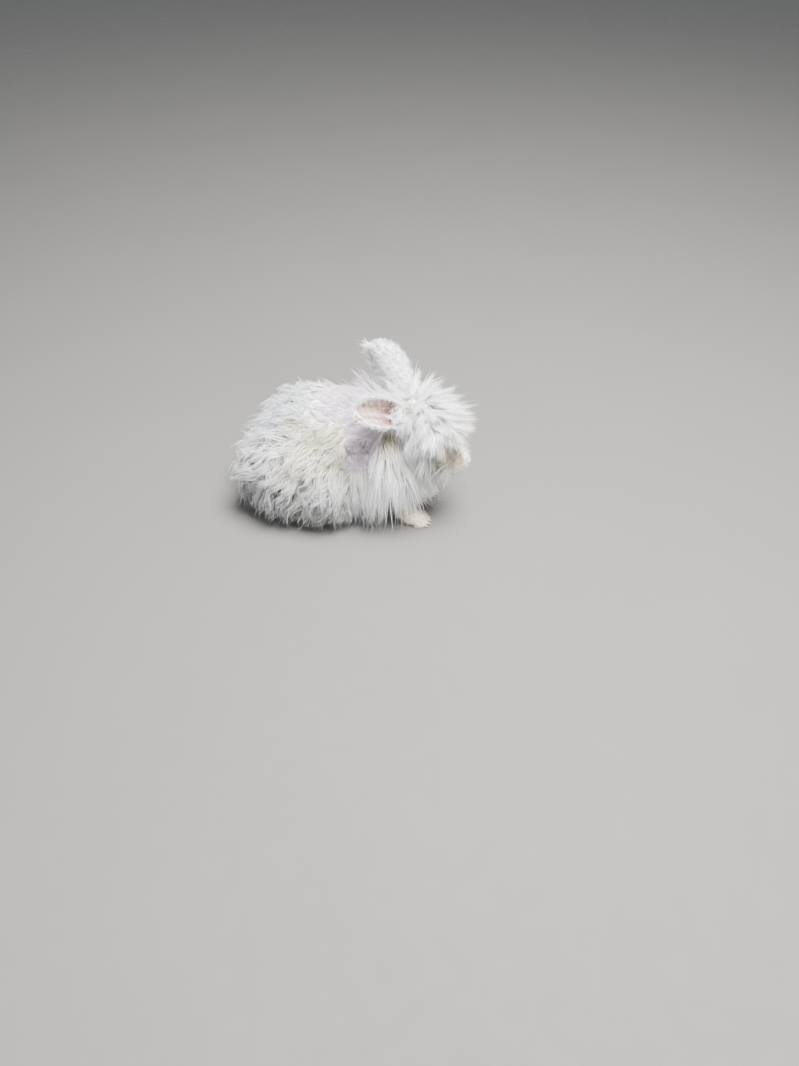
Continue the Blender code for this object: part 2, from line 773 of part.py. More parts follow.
def ear_shell(side):
    """The cup of an ear, with a wall of even thickness."""
    frame = ear_frame(side)
    turns = [2 * k / EAR_ARC_STEPS - 1 for k in range(EAR_ARC_STEPS + 1)]
    work = bmesh.new()
    rows = []
    for share, half_angle, radius in EAR_ROWS:
        sides = []
        for deep in (0.0, EAR_WALL):
            places = [ear_point(share, radius * MM, half_angle, turn, deep) for turn in turns]
            sides.append([work.verts.new(frame @ place) for place in places])
        rows.append(sides)
    for low, high in zip(rows, rows[1:]):
        for k in range(EAR_ARC_STEPS):
            for face in (0, 1):
                work.faces.new((low[face][k], low[face][k + 1], high[face][k + 1], high[face][k]))
        for k in (0, EAR_ARC_STEPS):
            work.faces.new((low[0][k], low[1][k], high[1][k], high[0][k]))
    for outer, inner in (rows[0], rows[-1]):
        for k in range(EAR_ARC_STEPS):
            work.faces.new((outer[k], outer[k + 1], inner[k + 1], inner[k]))
    return link_mesh("ear", work)


def ear_plug(side, grown=0.0):
    turn = ear_frame(side).to_3x3().to_4x4()
    return ball("plug", EAR_ROOT[side], EAR_PLUG + ALL * grown, turn, 8, 6)


def ear_space(side):
    """The space that an ear takes, closed over its cup and a little larger all round."""
    frame = ear_frame(side)
    turns = [2 * k / EAR_ARC_STEPS - 1 for k in range(EAR_ARC_STEPS + 1)]
    rings = []
    for share, half_angle, radius in EAR_ROWS:
        wide = half_angle + math.degrees(EAR_CLEAR / (radius * MM))
        back = [ear_point(share, radius * MM, wide, turn, -EAR_CLEAR) for turn in turns]
        rings.append([frame @ place for place in back])
    first, last = (frame @ Vector((x, 0, z)) for x, z in ((-EAR_CLEAR, 0), (EAR_LENGTH + EAR_CLEAR, 0)))
    return loft("ear_space", rings, (first, last + frame.to_3x3() @ Vector((0, 0, EAR_BEND))))


def build_ear(side, fringe):
    ear = ear_shell(side)
    ear.name = ear.data.name = "ear_" + SIDE_NAMES[side]
    return combine(ear, [ear_plug(side), *map(lock_body, fringe)], "UNION")


def build_eye(side):
    place = HEAD.frame @ mirrored(EYE_PLACE, side)
    eye = ball("eye_" + SIDE_NAMES[side], place, ALL * EYE_RADIUS, HEAD_TURN, 10, 7)
    return eye


def ear_cutters(fringes):
    """The spaces that the ears take out of the head and the neck."""
    made = []
    for side in (LEFT, RIGHT):
        made += [ear_plug(side, GAP), ear_space(side)]
        made += [lock_body(lock, LOCK_CLEAR) for lock in fringes[side]]
    return made


def build_head(core, locks, fringes):
    frame = HEAD.frame
    pieces = [*map(lock_body, locks), ball("chin", frame @ CHIN_PLACE, CHIN_RADII, HEAD_TURN)]
    cutters = [
        block("behind", (-REACH, -REACH, -REACH), (GAP / 2, REACH, REACH), CUT_FRAME),
        ball("mouth", frame @ MOUTH_PLACE, MOUTH_RADII, HEAD_TURN),
        ball("philtrum", frame @ PHILTRUM_PLACE, PHILTRUM_RADII, HEAD_TURN, 6, 6),
    ]
    for side in (LEFT, RIGHT):
        eye = frame @ mirrored(EYE_PLACE, side)
        socket = ALL * (EYE_RADIUS + GAP)
        lids = socket + ALL * LID_THICKNESS
        opening = frame @ mirrored(EYE_PLACE + Vector((0, EYE_OPENING.y, 0)), side)
        nostril = frame @ mirrored(NOSTRIL_PLACE, side)
        slant = HEAD_TURN @ Matrix.Rotation(math.radians(-35 * side), 4, "X")
        pieces.append(ball("lids", eye, lids, HEAD_TURN, 10, 7))
        pieces.append(ball("lip", frame @ mirrored(LIP_PLACE, side), LIP_RADII, HEAD_TURN, 8, 6))
        cutters.append(ball("socket", eye, socket, HEAD_TURN, 10, 7))
        cutters.append(ball("opening", opening, EYE_OPENING, HEAD_TURN, 8, 6))
        cutters.append(ball("nostril", nostril, NOSTRIL_RADII, slant, 6, 4))
    return carved(copy_of(core, "head"), pieces, cutters + ear_cutters(fringes))


def build_neck(core, locks, fringes):
    cutters = [
        block("in_front", (-GAP / 2, -REACH, -REACH), (REACH, REACH, REACH), CUT_FRAME),
        block("behind", (-REACH, -REACH, -REACH), (NECK_CUT + GAP / 2, REACH, REACH)),
        block("below", (-REACH, -REACH, -REACH), (REACH, REACH, NECK_FLOOR + GAP / 2)),
    ]
    return carved(copy_of(core, "neck"), map(lock_body, locks), cutters + ear_cutters(fringes))


def build_torso(core, locks, tail_locks):
    cutters = [
        block("in_front", (-GAP / 2, -REACH, -REACH), (REACH, REACH, REACH), CUT_FRAME),
        block("over", (NECK_CUT - GAP / 2, -REACH, NECK_FLOOR - GAP / 2), (REACH, REACH, REACH)),
        tail_form(2 * GAP).body("tail_socket", 7, 10),
    ]
    cutters += [lock_body(lock, LOCK_CLEAR) for lock in tail_locks]
    for side in (LEFT, RIGHT):
        near, far = sorted((side * (THIGH_CUT_Y - GAP / 2), side * REACH))
        cutters.append(block("haunch", (-REACH, near, -REACH), (THIGH_CUT_X + GAP / 2, far, REACH)))
        cutters += foreleg_pieces(side, 2 * GAP)
        cutters += hind_foot_pieces(side, 2 * GAP)
    return carved(copy_of(core, "torso"), map(lock_body, locks), cutters)


def build_hindleg(side, core, locks):
    near, far = sorted((side * (THIGH_CUT_Y + GAP / 2), -side * REACH))
    cutters = [
        block("inner", (-REACH, near, -REACH), (REACH, far, REACH)),
        block("front", (THIGH_CUT_X - GAP / 2, -REACH, -REACH), (REACH, REACH, REACH)),
    ]
    name = "hindleg_" + SIDE_NAMES[side]
    leg = carved(copy_of(core, name), map(lock_body, locks), cutters)
    return carved(leg, hind_foot_pieces(side), [floor_cutter()])


def toes(place, grown):
    """A row of toes round the front of a foot."""
    made = []
    for i in range(TOE_COUNT):
        across = i - (TOE_COUNT - 1) / 2
        middle = place + Vector((-TOE_ARCH * across**2, TOE_SPREAD * across, 0))
        made.append(ball("toe", middle, TOE_RADII + ALL * grown, None, 6, 4))
    return made


def hind_foot_pieces(side, grown=0.0):
    """Foot and toes, all of them larger by the growth."""
    foot = hind_foot_form(side, grown).body("foot", 7, 10)
    return [foot, *toes(mirrored(HIND_TOES_PLACE, side), grown)]


def foreleg_pieces(side, grown=0.0):
    """Leg, paw and toes, all of them larger by the growth."""
    leg = foreleg_form(side, grown).body("foreleg", 7, 8)
    paw = ball("paw", mirrored(PAW_PLACE, side), PAW_RADII + ALL * grown, None, 8, 6)
    return [leg, paw, *toes(mirrored(TOES_PLACE, side), grown)]


def build_foreleg(side):
    leg, *others = foreleg_pieces(side)
    leg.name = leg.data.name = "foreleg_" + SIDE_NAMES[side]
    return carved(leg, others, [floor_cutter()])


def floor_cutter():
    return block("floor", (-REACH, -REACH, -REACH), (REACH, REACH, 0))


def build_tail(locks):
    return combine(tail_form(0.0).body("tail", 7, 10), list(map(lock_body, locks)), "UNION")


def main():
    for old in list(bpy.data.objects):
        bpy.data.objects.remove(old)
    parts = bpy.data.collections.new("angora_rabbit")
    bpy.context.scene.collection.children.link(parts)
    core = build_core()
    coat = grow_coat(core)
    tail_locks = grow_tail_coat()
    fringes = {side: grow_fringe(side) for side in (LEFT, RIGHT)}
    nodes = {
        "head": build_head(core, coat["head"], fringes),
        "neck": build_neck(core, coat["neck"], fringes),
        "torso": build_torso(core, coat["torso"], tail_locks),
        "tail": build_tail(tail_locks),
    }
    for side in (LEFT, RIGHT):
        name = SIDE_NAMES[side]
        nodes["ear_" + name] = build_ear(side, fringes[side])
        nodes["eye_" + name] = build_eye(side)
        nodes["foreleg_" + name] = build_foreleg(side)
        nodes["hindleg_" + name] = build_hindleg(side, core, coat["hindleg_" + name])
    bpy.data.objects.remove(core)
    for name, node in nodes.items():
        kind = name.split("_")[0]
        finish(node, parts, COLOURS.get(kind, WOOL_COLOUR), ROUGHNESS.get(kind, WOOL_ROUGHNESS))


if __name__ == "__main__":
    main()
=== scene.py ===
"""Looks of the crouching angora rabbit.

One skin stands for all the flesh, and the coat over it is made of solid tufts that follow guides, so
that they gather into soft, wavy locks. The eyes, the claws and the whiskers are pieces of their own.
Sizes are in metres, in the same axes as the solids: +X is the way the rabbit faces, +Z is up.
"""

import json
import math

import bmesh
import bpy
import numpy as np
from mathutils import Matrix, Vector
from mathutils.bvhtree import BVHTree
from mathutils.kdtree import KDTree

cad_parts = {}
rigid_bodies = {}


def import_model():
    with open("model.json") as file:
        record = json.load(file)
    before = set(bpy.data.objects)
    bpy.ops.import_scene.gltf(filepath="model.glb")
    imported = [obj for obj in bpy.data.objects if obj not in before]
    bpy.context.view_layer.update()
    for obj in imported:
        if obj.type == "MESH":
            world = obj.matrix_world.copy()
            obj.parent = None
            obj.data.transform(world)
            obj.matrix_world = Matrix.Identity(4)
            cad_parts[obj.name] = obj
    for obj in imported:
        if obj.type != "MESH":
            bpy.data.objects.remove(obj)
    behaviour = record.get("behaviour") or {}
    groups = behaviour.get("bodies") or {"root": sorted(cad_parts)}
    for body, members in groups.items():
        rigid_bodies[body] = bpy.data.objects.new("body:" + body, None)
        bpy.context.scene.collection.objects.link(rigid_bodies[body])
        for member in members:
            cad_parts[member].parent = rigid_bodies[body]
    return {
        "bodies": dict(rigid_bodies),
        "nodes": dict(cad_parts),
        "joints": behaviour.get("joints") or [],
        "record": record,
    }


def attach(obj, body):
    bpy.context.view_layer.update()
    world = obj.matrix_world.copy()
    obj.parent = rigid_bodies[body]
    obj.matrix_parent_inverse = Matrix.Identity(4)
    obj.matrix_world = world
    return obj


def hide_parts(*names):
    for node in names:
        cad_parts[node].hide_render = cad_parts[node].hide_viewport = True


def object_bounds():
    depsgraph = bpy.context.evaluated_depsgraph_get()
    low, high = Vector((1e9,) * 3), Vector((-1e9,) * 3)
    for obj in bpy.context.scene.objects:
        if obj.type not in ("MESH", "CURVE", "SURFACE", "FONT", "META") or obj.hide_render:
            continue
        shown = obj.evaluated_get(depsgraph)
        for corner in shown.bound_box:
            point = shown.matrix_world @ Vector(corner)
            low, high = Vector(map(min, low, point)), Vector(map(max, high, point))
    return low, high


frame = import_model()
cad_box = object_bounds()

MM = 0.001
ALL = Vector((1, 1, 1))
UP = Vector((0, 0, 1))
DOWN = Vector((0, 0, -1))
LEFT, RIGHT = 1, -1
SIDE_NAMES = {LEFT: "left", RIGHT: "right"}
ORIGIN = Vector((-5.1, 0, 0)) * MM

# Bodies along a straight axis: place along it, the middle's height over it, half width, half height
TORSO_ROWS = (
    (-128, 58, 0, 0),
    (-120, 62, 26, 30),
    (-104, 72, 40, 46),
    (-80, 83, 51, 59),
    (-48, 91, 56, 67),
    (-14, 96, 56, 67),
    (18, 100, 52, 62),
    (46, 102, 46, 54),
    (68, 100, 37, 43),
    (82, 96, 0, 0),
)
NECK_ROWS = ((0, 0, 0, 0), (14, 0, 32, 33), (40, 0, 30, 32), (66, -2, 25, 28), (88, -4, 0, 0))
HEAD_ROWS = (
    (0, 0, 0, 0),
    (16, 0, 22, 23),
    (36, 0, 26, 28),
    (58, -2, 24.5, 27),
    (78, -4, 20.5, 24),
    (94, -5.5, 17, 20),
    (104, -6.5, 13, 15),
    (109, -7, 0, 0),
)
THIGH_ROWS = ((-66, -2, 0, 0), (-38, 0, 23, 46), (0, 0, 27, 54), (38, -6, 23, 46), (66, -12, 0, 0))
HIND_FOOT_ROWS = ((-50, 10, 0, 0), (-40, 10, 9.5, 11), (0, 9.5, 11, 11), (34, 8, 12.5, 9.5), (50, 6.5, 0, 0))
FORELEG_ROWS = ((0, 0, 0, 0), (10, 0, 13, 15), (34, 0, 11.5, 12.5), (56, 0, 9.5, 10), (76, 0, 9, 9), (84, 0, 0, 0))
TAIL_ROWS = ((-12, 0, 0, 0), (2, 0, 11, 12), (14, 2, 11, 12), (25, 4, 0, 0))
NECK_PLACE = (Vector((6, 0, 116)) * MM, -28, 0)
HEAD_PLACE = (Vector((60, 2, 163)) * MM, 34, -16)
THIGH_PLACE = Vector((-58, 45, 72)) * MM
HIND_FOOT_PLACE = Vector((-54, 40, 0)) * MM
FORELEG_PLACE = Vector((61, 28, 86)) * MM
FORELEG_PITCH = 82
TAIL_PLACE = (Vector((-126, 0, 66)) * MM, 168, 0)
PAW_PLACE = Vector((83, 29, 8)) * MM
PAW_RADII = Vector((16, 11, 9.5)) * MM
TOES_PLACE = Vector((96, 29, 4.6)) * MM
HIND_TOES_PLACE = Vector((-8, 40, 4.6)) * MM
TOE_RADII = Vector((7, 3.4, 5.4)) * MM
TOE_SPREAD = 5.6 * MM
TOE_ARCH = 1.2 * MM

# Ears: root, lie and the way the cup opens
EAR_LENGTH = 80 * MM
EAR_WALL = 2.0 * MM
EAR_PLUG = Vector((13, 9.5, 9.5)) * MM
EAR_RIDGE = 8 * MM
EAR_BEND = -4 * MM
EAR_ROOT = {LEFT: Vector((67, 18, 166)) * MM, RIGHT: Vector((68, -20, 160)) * MM}
EAR_LIE = {LEFT: Vector((-0.52, 0.06, 0.84)), RIGHT: Vector((-0.48, -0.65, 0.54))}
EAR_OPENS = {LEFT: Vector((0.0, 0.95, -0.2)), RIGHT: Vector((0.55, -0.2, 0.27))}
EAR_ROWS = (
    (0.0, 150, 8.0),
    (0.16, 125, 10.0),
    (0.34, 92, 14.5),
    (0.55, 74, 18.5),
    (0.74, 68, 18.0),
    (0.88, 64, 13.5),
    (0.96, 60, 8.5),
    (1.0, 50, 3.5),
)

# Face, in the head's own axes
EYE_RADIUS = 8.0 * MM
EYE_PLACE = Vector((61, 15.5, 4)) * MM
LID_THICKNESS = 1.5 * MM
EYE_OPENING = Vector((7.4, 30, 5.4)) * MM
LIP_PLACE = Vector((98, 6.6, -10)) * MM
LIP_RADII = Vector((10, 8, 8)) * MM
CHIN_PLACE = Vector((90, 0, -20.5)) * MM
CHIN_RADII = Vector((10, 8, 7)) * MM
MOUTH_PLACE = Vector((96, 0, -17.5)) * MM
MOUTH_RADII = Vector((14, 13, 0.7)) * MM
PHILTRUM_PLACE = Vector((107, 0, -12)) * MM
PHILTRUM_RADII = Vector((5, 0.7, 6)) * MM
NOSTRIL_PLACE = Vector((108.5, 4.6, -3)) * MM
NOSTRIL_RADII = Vector((4, 1.3, 2.4)) * MM


def mirrored(place, side):
    return Vector((place.x, side * place.y, place.z))


def frame_of(place, pitch=0, yaw=0):
    turn = Matrix.Rotation(math.radians(yaw), 4, "Z") @ Matrix.Rotation(math.radians(pitch), 4, "Y")
    return Matrix.Translation(place) @ turn


class Form:
    """A rounded body along the X axis of its frame, with elliptical sections."""

    def __init__(self, rows, frame):
        self.rows = [tuple(value * MM for value in row) for row in rows]
        self.start, self.end = self.rows[0][0], self.rows[-1][0]
        self.frame = frame
        self.knots = [self.phase(row[0]) for row in self.rows]
        self.slopes = [self.slopes_of(column) for column in (1, 2, 3)]
        self.alongs = np.linspace(self.start, self.end, 240)
        self.table = np.array([self.section(along) for along in self.alongs])

    def phase(self, along):
        share = (along - self.start) / (self.end - self.start)
        return math.acos(1 - 2 * min(1.0, max(0.0, share)))

    def slopes_of(self, column):
        values = [row[column] for row in self.rows]
        steps = [
            (values[i + 1] - values[i]) / (self.knots[i + 1] - self.knots[i])
            for i in range(len(values) - 1)
        ]
        inner = [(steps[i] + steps[i + 1]) / 2 for i in range(len(steps) - 1)]
        return [1.5 * steps[0] - 0.5 * inner[0], *inner, 1.5 * steps[-1] - 0.5 * inner[-1]]

    def section(self, along):
        phase = self.phase(along)
        i = 0
        while i < len(self.knots) - 2 and phase > self.knots[i + 1]:
            i += 1
        width = self.knots[i + 1] - self.knots[i]
        t = min(1.0, max(0.0, (phase - self.knots[i]) / width))
        found = []
        for column, slopes in zip((1, 2, 3), self.slopes):
            low, high = self.rows[i][column], self.rows[i + 1][column]
            found.append(
                (2 * t**3 - 3 * t**2 + 1) * low
                + (t**3 - 2 * t**2 + t) * width * slopes[i]
                + (3 * t**2 - 2 * t**3) * high
                + (t**3 - t**2) * width * slopes[i + 1]
            )
        return found[0], max(0.0, found[1]), max(0.0, found[2])

    def point(self, along, turn):
        middle, wide, high = self.section(along)
        angle = math.radians(turn)
        return self.frame @ Vector((along, wide * math.sin(angle), middle + high * math.cos(angle)))

    def body(self, name, count, sides):
        rings = []
        for i in range(1, count):
            along = self.start + (1 - math.cos(math.pi * i / count)) / 2 * (self.end - self.start)
            rings.append([self.point(along, 360 * k / sides) for k in range(sides)])
        return loft(name, rings, (self.point(self.start, 0), self.point(self.end, 0)))

    def local(self, places):
        """Places in metres, in the body's own axes."""
        inverse = np.array(self.frame.inverted())
        return places @ inverse[:3, :3].T + inverse[:3, 3]

    def away(self, places):
        """Rough distances of places from the body's surface."""
        local = self.local(places)
        along = np.clip(local[:, 0], self.start, self.end)
        middle, wide, high = (np.interp(along, self.alongs, self.table[:, i]) for i in range(3))
        wide, high = np.maximum(wide, MM), np.maximum(high, MM)
        level = np.sqrt((local[:, 1] / wide) ** 2 + ((local[:, 2] - middle) / high) ** 2)
        return np.abs(level - 1) * np.sqrt(wide * high) + np.abs(local[:, 0] - along)


def smoothstep(low, high, value):
    t = np.clip((value - low) / (high - low), 0, 1)
    return t * t * (3 - 2 * t)


def unit(vectors):
    return vectors / np.maximum(np.linalg.norm(vectors, axis=-1, keepdims=True), 1e-9)


# ---- meshes


def link_mesh(name, work):
    bmesh.ops.recalc_face_normals(work, faces=work.faces)
    mesh = bpy.data.meshes.new(name)
    work.to_mesh(mesh)
    work.free()
    made = bpy.data.objects.new(name, mesh)
    bpy.context.scene.collection.objects.link(made)
    return made


def loft(name, rings, tips=(None, None)):
    work = bmesh.new()
    rows = [[work.verts.new(point) for point in ring] for ring in rings]
    sides = len(rings[0])
    for low, high in zip(rows, rows[1:]):
        for k in range(sides):
            work.faces.new((low[k], low[(k + 1) % sides], high[(k + 1) % sides], high[k]))
    for tip, row in zip(tips, (rows[0], rows[-1])):
        if tip is None:
            work.faces.new(row)
            continue
        end = work.verts.new(tip)
        for k in range(sides):
            work.faces.new((end, row[k], row[(k + 1) % sides]))
    return link_mesh(name, work)


def ball(name, centre, radii, turn=None, sides=32, rows=20):
    work = bmesh.new()
    place = Matrix.Translation(centre) @ (turn or Matrix.Identity(4)) @ Matrix.Diagonal((*radii, 1))
    bmesh.ops.create_uvsphere(work, u_segments=sides, v_segments=rows, radius=1.0, matrix=place)
    return link_mesh(name, work)


def applied(obj):
    graph = bpy.context.evaluated_depsgraph_get()
    mesh = bpy.data.meshes.new_from_object(obj.evaluated_get(graph))
    obj.modifiers.clear()
    old = obj.data
    obj.data = mesh
    bpy.data.meshes.remove(old)
    return obj


def merged(name, pieces):
    """One object with the meshes of several, which are removed."""
    work = bmesh.new()
    for piece in pieces:
        work.from_mesh(piece.data)
        bpy.data.objects.remove(piece)
    return link_mesh(name, work)


def remeshed(obj, voxel, smooth):
    """One closed skin over joined bodies, with its creases softened."""
    remesh = obj.modifiers.new("remesh", "REMESH")
    remesh.mode = "VOXEL"
    remesh.voxel_size = voxel
    soft = obj.modifiers.new("soft", "SMOOTH")
    soft.factor = 0.5
    soft.iterations = smooth
    return applied(obj)


def put_in_order(obj):
    """Triangles and points in a set order, because a join leaves them in another order each time."""
    work = bmesh.new()
    work.from_mesh(obj.data)
    bmesh.ops.triangulate(work, faces=work.faces[:])
    places = np.array([vertex.co[:] for vertex in work.verts])
    corners = np.array([[vertex.index for vertex in face.verts] for face in work.faces])
    work.free()
    order = np.lexsort(places.T)
    rank = np.empty(len(order), int)
    rank[order] = np.arange(len(order))
    corners = rank[corners]
    corners = np.take_along_axis(corners, (corners.argmin(axis=1)[:, None] + np.arange(3)) % 3, axis=1)
    corners = corners[np.lexsort(corners.T)]
    obj.data.clear_geometry()
    obj.data.from_pydata(places[order].tolist(), [], corners.tolist())


def combine(obj, others, operation):
    group = bpy.data.collections.new(obj.name + "_pieces")
    bpy.context.scene.collection.children.link(group)
    for other in others:
        bpy.context.scene.collection.objects.unlink(other)
        group.objects.link(other)
    modifier = obj.modifiers.new(operation.lower(), "BOOLEAN")
    modifier.operation = operation
    modifier.operand_type = "COLLECTION"
    modifier.collection = group
    modifier.solver = "MANIFOLD"
    applied(obj)
    put_in_order(obj)
    for other in others:
        bpy.data.objects.remove(other)
    bpy.data.collections.remove(group)
    return obj


# ---- the skin

TORSO = Form(TORSO_ROWS, Matrix.Identity(4))
NECK = Form(NECK_ROWS, frame_of(*NECK_PLACE))
HEAD = Form(HEAD_ROWS, frame_of(*HEAD_PLACE))
TAIL = Form(TAIL_ROWS, frame_of(*TAIL_PLACE))
THIGH = {s: Form(THIGH_ROWS, frame_of(mirrored(THIGH_PLACE, s))) for s in (LEFT, RIGHT)}
HIND_FOOT = {s: Form(HIND_FOOT_ROWS, frame_of(mirrored(HIND_FOOT_PLACE, s))) for s in (LEFT, RIGHT)}
FORELEG = {s: Form(FORELEG_ROWS, frame_of(mirrored(FORELEG_PLACE, s), FORELEG_PITCH)) for s in (LEFT, RIGHT)}
HEAD_TURN = HEAD.frame.to_3x3().to_4x4()
EYES = {s: HEAD.frame @ mirrored(EYE_PLACE, s) for s in (LEFT, RIGHT)}


def toe_places(place):
    for i in range(4):
        across = i - 1.5
        yield place + Vector((-TOE_ARCH * across**2, TOE_SPREAD * across, 0))


def ear_frame(side):
    along = EAR_LIE[side].normalized()
    opens = (EAR_OPENS[side] - along * EAR_OPENS[side].dot(along)).normalized()
    turn = Matrix((along, opens.cross(along), opens)).transposed().to_4x4()
    return Matrix.Translation(EAR_ROOT[side]) @ turn


EAR_FRAME = {s: ear_frame(s) for s in (LEFT, RIGHT)}
shares = np.linspace(0, 1, 81)
softened = [np.interp(shares, [row[0] for row in EAR_ROWS], [row[i] for row in EAR_ROWS]) for i in (1, 2)]
for _ in range(24):
    for values in softened:
        values[1:-1] = (values[:-2] + 2 * values[1:-1] + values[2:]) / 4


def ear_row(share):
    """Half angle in degrees and radius in metres of the cup at a share of the ear's length."""
    return np.interp(share, shares, softened[0]), np.interp(share, shares, softened[1]) * MM


def ear_point(share, turn, deep):
    """A point on the cup, in the ear's axes. A turn of -1 or 1 is a rim, and 0 is the back."""
    half_angle, radius = ear_row(share)
    angle = math.radians(half_angle) * turn
    inner = radius - deep
    height = EAR_BEND * share**2 + radius - EAR_RIDGE - inner * math.cos(angle)
    return Vector((EAR_LENGTH * share, inner * math.sin(angle), height))


def ear_shell(side):
    """The cup of an ear, thinner at its rims."""
    steps, count = 20, 44
    work = bmesh.new()
    rows = []
    for i in range(count + 1):
        share = math.sin(math.pi / 2 * i / count)
        sides = []
        for face in (0, 1):
            row = []
            for k in range(steps + 1):
                turn = 2 * k / steps - 1
                deep = face * EAR_WALL * (0.45 + 0.55 * (1 - abs(turn) ** 3)) * (1.2 - 0.6 * share)
                row.append(work.verts.new(EAR_FRAME[side] @ ear_point(share, turn, deep)))
            sides.append(row)
        rows.append(sides)
    for low, high in zip(rows, rows[1:]):
        for k in range(steps):
            for face in (0, 1):
                work.faces.new((low[face][k], low[face][k + 1], high[face][k + 1], high[face][k]))
        for k in (0, steps):
            work.faces.new((low[0][k], low[1][k], high[1][k], high[0][k]))
    for outer, inner in (rows[0], rows[-1]):
        for k in range(steps):
            work.faces.new((outer[k], outer[k + 1], inner[k + 1], inner[k]))
    return link_mesh("ear", work)


def build_head():
    pieces = [HEAD.body("head", 40, 48), ball("chin", HEAD.frame @ CHIN_PLACE, CHIN_RADII, HEAD_TURN)]
    cutters = [
        ball("mouth", HEAD.frame @ MOUTH_PLACE, MOUTH_RADII, HEAD_TURN),
        ball("philtrum", HEAD.frame @ PHILTRUM_PLACE, PHILTRUM_RADII, HEAD_TURN),
    ]
    for side in (LEFT, RIGHT):
        turn = EAR_FRAME[side].to_3x3().to_4x4()
        opening = HEAD.frame @ mirrored(EYE_PLACE + Vector((0, EYE_OPENING.y, 0)), side)
        slant = HEAD_TURN @ Matrix.Rotation(math.radians(-35 * side), 4, "X")
        pieces.append(ball("lids", EYES[side], ALL * (EYE_RADIUS + LID_THICKNESS), HEAD_TURN))
        pieces.append(ball("lip", HEAD.frame @ mirrored(LIP_PLACE, side), LIP_RADII, HEAD_TURN))
        pieces.append(ball("plug", EAR_ROOT[side], EAR_PLUG, turn))
        cutters.append(ball("socket", EYES[side], ALL * (EYE_RADIUS + 0.1 * MM), HEAD_TURN))
        cutters.append(ball("opening", opening, EYE_OPENING, HEAD_TURN))
        cutters.append(ball("nostril", HEAD.frame @ mirrored(NOSTRIL_PLACE, side), NOSTRIL_RADII, slant))
    return combine(remeshed(merged("head_skin", pieces), 1.1 * MM, 4), cutters, "DIFFERENCE")


def build_body():
    pieces = [TORSO.body("torso", 60, 64), NECK.body("neck", 30, 40), TAIL.body("tail", 20, 24)]
    for side in (LEFT, RIGHT):
        pieces.append(THIGH[side].body("thigh", 40, 48))
        pieces.append(HIND_FOOT[side].body("foot", 30, 28))
        pieces.append(FORELEG[side].body("foreleg", 30, 28))
        pieces.append(ball("paw", mirrored(PAW_PLACE, side), PAW_RADII))
        for place in (TOES_PLACE, HIND_TOES_PLACE):
            for middle in toe_places(mirrored(place, side)):
                pieces.append(ball("toe", middle, TOE_RADII, None, 16, 12))
    return remeshed(merged("skin", pieces), 1.6 * MM, 6)


def tree_of(obj):
    work = bmesh.new()
    work.from_mesh(obj.data)
    tree = BVHTree.FromBMesh(work)
    work.free()
    return tree


skin = combine(build_body(), [build_head()], "UNION")
body_tree = tree_of(skin)
combine(skin, [ear_shell(side) for side in (LEFT, RIGHT)], "UNION")
for vertex in skin.data.vertices:
    vertex.co.z = max(vertex.co.z, 0.3 * MM)
skin.name = skin.data.name = "skin"
bpy.context.view_layer.objects.active = skin
skin.select_set(True)
bpy.ops.object.mode_set(mode="EDIT")
bpy.ops.mesh.select_all(action="SELECT")
bpy.ops.uv.smart_project(angle_limit=math.radians(66), island_margin=0.002)
bpy.ops.object.mode_set(mode="OBJECT")
skin.data.uv_layers[0].name = "OFBake"
skin.data.shade_smooth()

mesh = skin.data
mesh.calc_loop_triangles()
points = np.empty((len(mesh.vertices), 3), np.float32)
mesh.vertices.foreach_get("co", points.ravel())
normals = np.empty((len(mesh.vertices), 3), np.float32)
mesh.vertex_normals.foreach_get("vector", normals.ravel())
triangles = np.empty((len(mesh.loop_triangles), 3), np.int32)
mesh.loop_triangles.foreach_get("vertices", triangles.ravel())
corners = np.empty((len(mesh.loop_triangles), 3), np.int32)
mesh.loop_triangles.foreach_get("loops", corners.ravel())
uvs = np.empty((len(mesh.loops), 2), np.float32)
mesh.uv_layers[0].data.foreach_get("uv", uvs.ravel())
points, normals = points.astype(float), normals.astype(float)
edges = points[triangles]
areas = np.linalg.norm(np.cross(edges[:, 1] - edges[:, 0], edges[:, 2] - edges[:, 0]), axis=1) / 2
middles = edges.mean(axis=1)
facings = unit(normals[triangles].mean(axis=1))
skin_tree = BVHTree.FromPolygons(points.tolist(), triangles.tolist())

# ---- regions and markings

PARTS = ("torso", "neck", "head", "tail", "thigh", "foot", "foreleg", "ear")


def nearest_ear(places):
    """For each place the side of the ear that it is nearer to, and its place along and across that ear."""
    locals_of = []
    for side in (LEFT, RIGHT):
        inverse = np.array(EAR_FRAME[side].inverted())
        locals_of.append(places @ inverse[:3, :3].T + inverse[:3, 3])
    far = [np.linalg.norm(l - np.clip(l, (0, 0, 0), (EAR_LENGTH, 0, 0)), axis=1) for l in locals_of]
    is_left = far[0] < far[1]
    return is_left, np.where(is_left[:, None], locals_of[0], locals_of[1])


def ear_shares(local):
    """Shares of places in an ear's axes: along the ear, and across it from its middle to its rim."""
    share = np.clip(local[:, 0] / EAR_LENGTH, 0, 1)
    half_angle, radius = ear_row(share)
    return share, np.abs(local[:, 1]) / (radius * np.sin(np.radians(np.minimum(90, half_angle))) + 0.1 * MM)


def bare_at(share):
    """How far across the cup of the ear is bare: a pointed shape that is widest near the head."""
    return np.interp(share, (0.0, 0.14, 0.2, 0.5, 0.8, 0.97), (0.0, 0.1, 1.0, 0.86, 0.62, 0.0))


